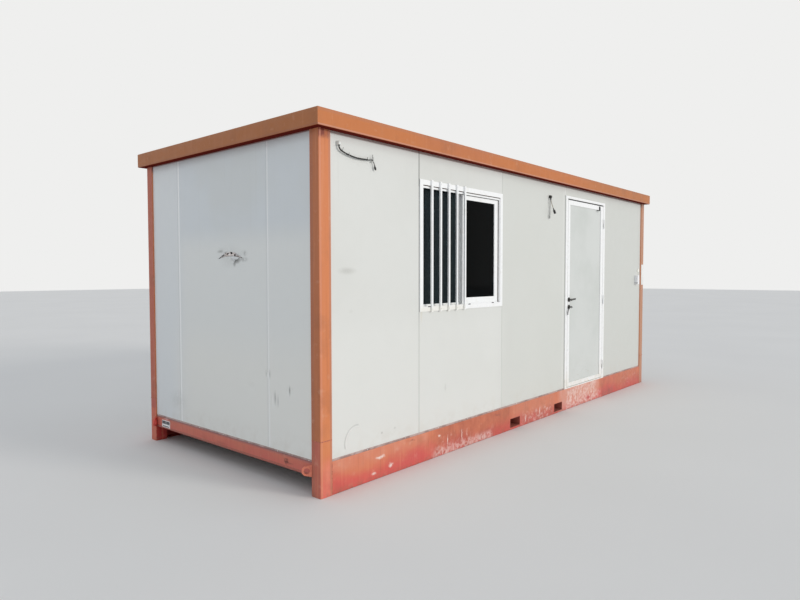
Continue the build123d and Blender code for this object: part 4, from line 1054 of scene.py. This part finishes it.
class CABIN_OT_cables(bpy.types.Operator):
    """Makes the three short cables, their strain reliefs, end pieces, tape and ties"""

    bl_idname = "cabin.cables"
    bl_label = "Cables"

    def execute(self, context):
        sizes = context.scene.cabin_sizes
        cords, reliefs, tapes, ties = {}, {}, {}, {}
        for name, cable in cables.items():
            radii = [getattr(sizes, cable["size"]) / 2] * len(cable["route"])
            cords[name] = tube(f"{name}_cable_sheath", "NURBS", cable["route"], radii, *cable["sheath"])
            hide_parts(f"{name}_cable")
        for name, cable in cables.items():
            first, second = cable["route"][:2]
            reliefs[name] = stamped(f"{name}_strain_relief", turned(relief_profile),
                                    [turn_to(second - first, first)], "black_nylon", "dark_fitting")
        line = centreline(cords["left"])
        tapes["left"] = [wound_tape(line, 0.05, 0.60, sizes.tape)]
        ties["left"] = [cable_tie(tie, line, *rest) for tie, *rest in left_ties]
        for name, cable in cables.items():
            before, last = cable["route"][-2:]
            end = stamped(cable["end"], turned(cable["profile"], 28), [turn_to(last - before, last)],
                          *cable["end_looks"])
            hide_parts(f"{name}_cable_plug")
            getattr(sizes, cable["size"])
        return {"FINISHED"}


class CABIN_OT_frame_finishes(bpy.types.Operator):
    """Gives every node of the frame its finish"""

    bl_idname = "cabin.frame_finishes"
    bl_label = "Frame finishes"

    def execute(self, context):
        dressed = {name for names in node_finishes.values() for name in names}
        bare = set(nodes) - dressed - {f"{name}_cable" for name in cables}
        if bare:
            raise RuntimeError(f"these nodes have no finish: {sorted(bare)}")
        for finish, names in node_finishes.items():
            for name in names:
                materials = nodes[name].data.materials
                materials.clear()
                materials.append(look(finish))
        return {"FINISHED"}


class CABIN_OT_tear(bpy.types.Operator):
    """Makes the torn skin of the left end: foam in the gash, curled lips and a bent tab"""

    bl_idname = "cabin.tear"
    bl_label = "Torn skin"

    def execute(self, context):
        make_foam()
        make_lips()
        return {"FINISHED"}


# The gash, as the part's source cuts it: its middle from the near post, level, length, the rise of its two
# edges, and its depth
gash_middle = 1.044
gash_level = 1.629
gash_length = 0.340
gash_upper_rise = 0.054
gash_lower_rise = 0.022
gash_depth = 0.007
# Pits in the torn foam: from the near post, level, reach and depth
foam_pits = [
    (1.036, 1.676, 0.018, 0.010),
    (0.990, 1.661, 0.014, 0.010),
    (0.948, 1.652, 0.010, 0.008),
]
# Torn lips: start and end as shares of half the gash, the rise of their edge, and how far they lean out, rise,
# bend and roll
torn_lips = [
    (-0.94, -0.50, gash_upper_rise, 0.004, -0.010, 0.002, 1.0),
    (-0.48, -0.20, gash_upper_rise, 0.008, 0.006, 0.003, 1.6),
    (0.46, 0.90, gash_upper_rise, 0.010, -0.005, 0.004, 1.4),
    (0.10, 0.70, gash_lower_rise, 0.012, -0.034, 0.010, 1.2),
    (0.26, 0.46, gash_lower_rise, 0.008, -0.056, 0.008, 1.1),
]


def gash_edge(share, rise):
    """Gives the height of an arc over the gash at a share of its length, from -1 to 1."""
    half = gash_length / 2
    radius = (half ** 2 + rise ** 2) / (2 * rise)
    return math.sqrt(radius ** 2 - (share * half) ** 2) - (radius - rise)


def eased(value, start, end):
    """Gives 0 up to start, 1 from end on, and a smooth rise between."""
    share = min(1.0, max(0.0, (value - start) / (end - start)))
    return share * share * (3 - 2 * share)


def make_foam():
    """Makes the torn foam that fills the gash, lumpy, with deep dark pits and crumbs that stand out."""
    shape = bmesh.new()
    bmesh.ops.create_grid(shape, x_segments=110, y_segments=26, size=0.5)
    for vert in shape.verts:
        share = vert.co.x * 2 * 0.995
        low = gash_edge(share, gash_lower_rise)
        high = gash_edge(share, gash_upper_rise)
        level = gash_level + low + (vert.co.y + 0.5) * (high - low)
        near = gash_middle - share * gash_length / 2
        place = Vector((share * 5.2, vert.co.y * 2.4, 1.7))
        lump = noise.noise(place) * 0.6 + noise.noise(place * 2.7) * 0.3 + noise.noise(place * 6.5) * 0.14
        filled = eased(share, -0.88, -0.66) * (1 - eased(share, 0.78, 0.92))
        rim = eased(vert.co.y, -0.48, -0.18)
        stand = -gash_depth * 0.86 + (0.0030 + 0.0060 * max(0.0, lump + 0.12)) * filled * rim
        for pit_near, pit_level, reach, depth in foam_pits:
            away = math.hypot(near - pit_near, level - pit_level) / reach
            stand -= depth * max(0.0, 1 - away)
        vert.co = on_end(near, level, min(-0.0008, max(stand, -gash_depth * 0.95)))
    bmesh.ops.solidify(shape, geom=list(shape.faces), thickness=0.0003)
    piece("gash_foam", shape, "insulating_foam", smooth_angle=60)


def curled_strip(shape, start, end, base, out, rise, bend, roll):
    """Adds a strip of sheet along a stretch of an edge, curled away from the wall as it leaves the edge."""
    grid = bmesh.ops.create_grid(shape, x_segments=18, y_segments=8, size=0.5)["verts"]
    for vert in grid:
        along_edge = vert.co.x + 0.5
        away = vert.co.y + 0.5
        share = start + (end - start) * along_edge
        taper = math.sin(math.pi * min(1.0, max(0.0, along_edge))) ** 0.6
        ragged = 1 + 0.35 * noise.noise(Vector((share * 9, rise * 40, 0.3)))
        angle = away * taper * ragged * roll
        level = gash_level + gash_edge(share, base) + rise * math.sin(angle) / roll
        stand = 0.0006 + out * (1 - math.cos(angle)) + bend * math.sin(math.pi * along_edge) * away
        vert.co = on_end(gash_middle - share * gash_length / 2, level, stand)


def make_lips():
    """Makes the skin's torn lips, bent out of the wall above and below the gash, with the tab that hangs."""
    shape = bmesh.new()
    for lip in torn_lips:
        curled_strip(shape, *lip)
    bmesh.ops.solidify(shape, geom=list(shape.faces), thickness=0.0006)
    piece("gash_lips", shape, "torn_sheet", smooth_angle=70)


class CABIN_OT_window_fittings(bpy.types.Operator):
    """Makes the glazing and brush seals, the brush seals' dark pile also standing in for the shade of the gaps at
    the head and beside the sash, the white jamb strip, the drip slots' covers and the bars' screws
    """

    bl_idname = "cabin.window_fittings"
    bl_label = "Window fittings"

    def execute(self, context):
        sizes = context.scene.cabin_sizes
        seals = bmesh.new()
        for name in ("window_sash", "window_fixed_frame"):
            stamp(seals, frame_ring(*glass_opening(name), sizes.seal), [Matrix()])
        piece("glazing_seals", seals, "rubber")
        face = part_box("window_frame")[0].y
        half_slot, slot_foot, slot_head = 0.015, 1.2455, 1.2525
        middles = [left_end + left for left in (1.172, 1.736, 2.110)]
        slots = [((x - half_slot, face - 0.0035, slot_foot), (x + half_slot, face + 0.001, slot_head))
                 for x in middles]
        blocks("drip_slot_covers", slots, 0.0015, "rubber")
        # Dark brush seals where the gaps under the head and beside the sash lie in shade, standing in for that
        # shade
        blocks("head_brush_seal_and_gap_shade", [(on_front(1.0965, 2.2125, 0.004), on_front(2.2365, 2.2175, -0.006))], 0.001,
               "brown_brush_and_gap_shade")
        blocks("side_brush_seal_and_gap_shade", [(on_front(2.2222, 1.2530, -0.009), on_front(2.2288, 2.1960, -0.014))], 0.001,
               "brown_brush_and_gap_shade")
        blocks("jamb_strip", [(on_front(2.2290, 1.2530, 0.004), on_front(2.2375, 2.2120, -0.030))], 0.001,
               "white_enamel")
        bar_low, bar_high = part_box("window_bars")
        count, width, inset = 5, 0.020, 0.022
        pitch = (bar_high.x - bar_low.x - width) / (count - 1)
        places = [turn_to((0, -1, 0), (bar_low.x + width / 2 + pitch * index, bar_low.y, level))
                  for index in range(count) for level in (bar_low.z + inset, bar_high.z - inset)]
        stamped("bar_screws", screw_head(sizes.screw_head), places, "white_enamel", "white_frame")
        return {"FINISHED"}


def glass_opening(name):
    """Gives the corners of the seal that lies in front of the glass inside a window frame."""
    low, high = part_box(name)
    middle = (low + high) / 2
    inner = [vert.co for vert in nodes[name].data.vertices
             if low.x + 0.001 < vert.co.x < high.x - 0.001 and low.z + 0.001 < vert.co.z < high.z - 0.001]
    left = min(co.x for co in inner if co.x < middle.x)
    right = max(co.x for co in inner if co.x > middle.x)
    bottom = min(co.z for co in inner if co.z < middle.z)
    top = max(co.z for co in inner if co.z > middle.z)
    return Vector((left, low.y + 0.004, bottom)), Vector((right, low.y + 0.009, top))


def screw_head(diameter):
    """Gives the mesh of a pan head screw with a hexagon socket, pointing along Z."""
    radius = diameter / 2
    return turned([(0, 0.15 * radius), (0.42 * radius, 0.15 * radius), (0.42 * radius, 0.62 * radius),
                   (0.75 * radius, 0.60 * radius), (radius * 0.95, 0.35 * radius), (radius, 0.0), (0, 0.0)], 12)


class CABIN_OT_door_fittings(bpy.types.Operator):
    """Makes the door's seals, the head seal also standing in for the shade of the gap under the head, and the
    screws of its hinges
    """

    bl_idname = "cabin.door_fittings"
    bl_label = "Door fittings"

    def execute(self, context):
        leaf_low, leaf_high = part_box("door_leaf_frame")
        frame_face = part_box("door_frame")[0].y
        seal = frame_ring((leaf_low.x + 0.0005, leaf_high.y + 0.0008, leaf_low.z + 0.0005),
                          (leaf_high.x - 0.0005, leaf_high.y + 0.0045, leaf_high.z - 0.0005), 0.008, 0.001)
        stamped("door_seal", seal, [Matrix()], "rubber", "dark_fitting")
        # Dark rubber in the gap under the door's head, standing in for the gap's shade
        head_seal = ((leaf_low.x, frame_face + 0.006, leaf_high.z + 0.003),
                     (leaf_high.x, frame_face + 0.024, leaf_high.z + 0.0138))
        blocks("door_head_seal_and_gap_shade", [head_seal], 0.001, "rubber")
        hinge_feet, plate_stand = (0.352, 1.146, 2.064), 0.0110
        halves = (("frame", 4.5950, (0.012, 0.042), "cabin"), ("leaf", 4.5605, (0.066, 0.096), "door"))
        for half, left, rises, body in halves:
            places = [turn_to((0, -1, 0), on_front(left, foot + rise, plate_stand))
                      for foot in hinge_feet for rise in rises]
            stamped(f"hinge_screws_{half}", screw_head(context.scene.cabin_sizes.hinge_screw), places,
                    "white_enamel", "galvanised", body)
        return {"FINISHED"}


class CABIN_OT_flashing_rivets(bpy.types.Operator):
    """Makes the blind rivets that hold the base flashing"""

    bl_idname = "cabin.flashing_rivets"
    bl_label = "Flashing rivets"

    def execute(self, context):
        sizes = context.scene.cabin_sizes
        low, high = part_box("base_flashing")
        door_low, door_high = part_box("door_frame")
        level = (low.z + high.z) / 2 + 0.001
        head = turned([(0, 0.0018), (0.0022, 0.0015), (0.0026, 0.0007), (sizes.rivet_head / 2, 0.0), (0, 0)], 12)
        places = []
        for x in spread(low.x + 0.03, high.x - 0.03, round((high.x - low.x) / sizes.rivet_pitch)):
            places.append(turn_to((0, 1, 0), (x, high.y, level)))
            if not door_low.x - 0.02 < x < door_high.x + 0.02:
                places.append(turn_to((0, -1, 0), (x, low.y, level)))
        for y in spread(low.y + 0.12, high.y - 0.12, round((high.y - low.y) / sizes.rivet_pitch)):
            places.append(turn_to((1, 0, 0), (high.x, y, level)))
            places.append(turn_to((-1, 0, 0), (low.x, y, level)))
        stamped("flashing_rivets", head, places, "white_enamel", "white_frame")
        return {"FINISHED"}


def spread(start, end, gaps):
    """Gives places from start to end with so many equal gaps between them."""
    return [start + index * (end - start) / gaps for index in range(gaps + 1)]


class CABIN_OT_plates(bpy.types.Operator):
    """Makes the two bare plates, on the right post and on the left end beam"""

    bl_idname = "cabin.plates"
    bl_label = "Bare plates"

    def execute(self, context):
        beam_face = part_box("end_beams")[0].x
        post_plate = ((left_end + 5.868, post_face - 0.0016, 1.362),
                      (left_end + 5.944, post_face - 0.0001, 1.640))
        blocks("post_plate", [post_plate], 0.0006, "plain_plate")
        beam_plate = ((beam_face - 0.0016, post_face + 2.002, 0.146),
                      (beam_face - 0.0001, post_face + 2.142, 0.209))
        blocks("beam_plate", [beam_plate], 0.0006, "plain_plate")
        fields = ((2.008, 2.068, 0.176, 0.203), (2.074, 2.136, 0.176, 0.203), (2.020, 2.124, 0.152, 0.160))
        panels = [((beam_face - 0.0021, post_face + near, foot), (beam_face - 0.0015, post_face + far, head))
                  for near, far, foot, head in fields]
        blocks("beam_plate_panels", panels, 0.0, "plate_panel")
        return {"FINISHED"}


class CABIN_OT_roof_screws(bpy.types.Operator):
    """Makes the roofing screws with their rubber washers, in the pans over every purlin and edge"""

    bl_idname = "cabin.roof_screws"
    bl_label = "Roofing screws"

    def execute(self, context):
        radius = context.scene.cabin_sizes.roof_washer / 2
        low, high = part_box("roof_sheet")
        ribs, pan_top = 23, 2.546
        purlins = (low.y + 0.022, -0.506, 0.022, 0.550, high.y - 0.022)
        places = [Matrix.Translation((x, y, pan_top)) for x in spread(low.x, high.x, ribs)[1:-1] for y in purlins]
        head = turned([(0, 0.0072), (0.0030, 0.0072), (0.0036, 0.0066), (0.0036, 0.0030), (0.0058, 0.0026),
                       (0.0058, 0.0018), (radius, 0.0010), (radius, 0.0001), (0, 0.0001)], 12)
        stamped("roofing_screws", head, places, "galvanised_sheet", "galvanised")
        return {"FINISHED"}


class CABIN_OT_welds(bpy.types.Operator):
    """Makes the weld beads where the corner posts are spliced above their feet and meet the rails"""

    bl_idname = "cabin.welds"
    bl_label = "Weld beads"

    def execute(self, context):
        width = context.scene.cabin_sizes.weld
        splice, post_width, post_depth, rail_start = 0.385, 0.104, 0.091, 0.104
        shape = bmesh.new()
        for x_face, x_way in ((left_end, 1), (right_end, -1)):
            for y_face, y_way in ((post_face, 1), (back_face, -1)):
                across_post = [(x_face + x_way * reach, y_face, splice) for reach in (0.003, post_width)]
                into_post = [(x_face, y_face + y_way * reach, splice) for reach in (0.003, post_depth)]
                up_rail = [(x_face + x_way * rail_start, y_face, level) for level in (0.012, rail_top - 0.004)]
                weld_bead(shape, *across_post, width, (0, -y_way, 0))
                weld_bead(shape, *into_post, width, (-x_way, 0, 0))
                weld_bead(shape, *up_rail, width, (0, -y_way, 0))
        piece("weld_beads", shape, "rusted_weld", smooth_angle=60)
        return {"FINISHED"}


def weld_bead(shape, start, end, width, out):
    """Adds a low, rippled bead of weld from one point to another, half sunk in a face that looks out."""
    high = 0.0016
    start, end, out = Vector(start), Vector(end), Vector(out)
    run = end - start
    side = run.normalized().cross(out)
    bead = bmesh.new()
    bmesh.ops.create_cone(bead, cap_ends=True, segments=10, radius1=1, radius2=1, depth=1)
    lengthwise = [edge for edge in bead.edges if abs(edge.verts[0].co.z - edge.verts[1].co.z) > 0.5]
    bmesh.ops.subdivide_edges(bead, edges=lengthwise, cuts=max(3, round(run.length / 0.004)), use_grid_fill=True)
    for vert in bead.verts:
        centre = start + run * (vert.co.z + 0.5)
        swell = 0.85 + 0.15 * math.sin((vert.co.z + 0.5) * run.length * 475) + 0.12 * noise.noise(centre * 90)
        vert.co = centre + side * (vert.co.x * width / 2 * swell) + out * (vert.co.y * high * swell)
    stamp(shape, meshed(bead), [Matrix()])


class CABIN_OT_stage(bpy.types.Operator):
    """Makes the pale floor and the soft studio light"""

    bl_idname = "cabin.stage"
    bl_label = "Studio"

    def execute(self, context):
        shape = bmesh.new()
        bmesh.ops.create_grid(shape, x_segments=1, y_segments=1, size=60.0)
        bmesh.ops.translate(shape, vec=(0, 0, -0.0005), verts=shape.verts)
        mesh = meshed(shape, "studio_floor")
        surface, place = new_finish("studio_floor", Roughness=0.9, Specular_IOR_Level=0.2)
        feed(surface, covered("EDECEA", "E6E5E3", patches(place, 2500, detail=2)))
        mesh.materials.append(bpy.data.materials["studio_floor"])
        floor = bpy.data.objects.new("studio_floor", mesh)
        context.scene.collection.objects.link(floor)
        lamp = bpy.data.lights.new("soft_key", "SUN")
        lamp.energy = 1.22
        lamp.angle = math.radians(15)
        lamp.color = (1.0, 0.955, 0.895)
        key = bpy.data.objects.new("soft_key", lamp)
        key.matrix_world = turn_to((0.30, -0.85, 0.26), (6, -12, 9))
        context.scene.collection.objects.link(key)
        world = bpy.data.worlds.new("studio")
        context.scene.world = world
        world.use_nodes = True
        light = world.node_tree.nodes["Background"]
        light.inputs["Color"].default_value = linear("F0F5FB")
        light.inputs["Strength"].default_value = 0.68
        seen = add(light, "ShaderNodeBackground", inputs={"Color": linear("EFEFEE"), "Strength": 1.0})
        path = add(light, "ShaderNodeLightPath").outputs
        direct = add(light, "ShaderNodeMath", {"operation": "MAXIMUM"},
                     {0: path["Is Camera Ray"], 1: path["Is Glossy Ray"]})
        direct = add(light, "ShaderNodeMath", {"operation": "MAXIMUM"},
                     {0: direct.outputs[0], 1: path["Is Transmission Ray"]})
        both = add(light, "ShaderNodeMixShader",
                   inputs={0: direct.outputs[0], 1: light.outputs[0], 2: seen.outputs[0]})
        world.node_tree.links.new(both.outputs[0], world.node_tree.nodes["World Output"].inputs["Surface"])
        context.scene.view_settings.view_transform = "Standard"
        return {"FINISHED"}


class CABIN_PT_panel(bpy.types.Panel):
    """Lists the pieces of the cabin in the sidebar"""

    bl_idname = "CABIN_PT_panel"
    bl_label = "Site cabin"
    bl_space_type = "VIEW_3D"
    bl_region_type = "UI"
    bl_category = "Cabin"

    def draw(self, context):
        for operator in operators:
            self.layout.operator(operator.bl_idname)
        for group in (context.scene.cabin_sizes, context.scene.cabin_colours):
            for name in group.bl_rna.properties.keys():
                if name not in ("rna_type", "name"):
                    self.layout.prop(group, name)


operators = (
    CABIN_OT_camera,
    CABIN_OT_cables,
    CABIN_OT_frame_finishes,
    CABIN_OT_tear,
    CABIN_OT_window_fittings,
    CABIN_OT_door_fittings,
    CABIN_OT_flashing_rivets,
    CABIN_OT_plates,
    CABIN_OT_roof_screws,
    CABIN_OT_welds,
    CABIN_OT_stage,
)
classes = (CabinSizes, CabinColours, *operators, CABIN_PT_panel)


def register():
    """Registers the classes and hangs the two property groups on the scene."""
    for kind in classes:
        bpy.utils.register_class(kind)
    bpy.types.Scene.cabin_sizes = PointerProperty(type=CabinSizes)
    bpy.types.Scene.cabin_colours = PointerProperty(type=CabinColours)


def unregister():
    """Takes the property groups off the scene and the classes out of Blender."""
    del bpy.types.Scene.cabin_colours
    del bpy.types.Scene.cabin_sizes
    for kind in reversed(classes):
        bpy.utils.unregister_class(kind)


def main():
    """Makes the pieces in order."""
    register()
    bpy.ops.cabin.camera()
    bpy.ops.cabin.cables()
    bpy.ops.cabin.frame_finishes()
    bpy.ops.cabin.tear()
    bpy.ops.cabin.window_fittings()
    bpy.ops.cabin.door_fittings()
    bpy.ops.cabin.flashing_rivets()
    bpy.ops.cabin.plates()
    bpy.ops.cabin.roof_screws()
    bpy.ops.cabin.welds()
    bpy.ops.cabin.stage()
    bpy.context.view_layer.update()


if __name__ == "__main__":
    main()
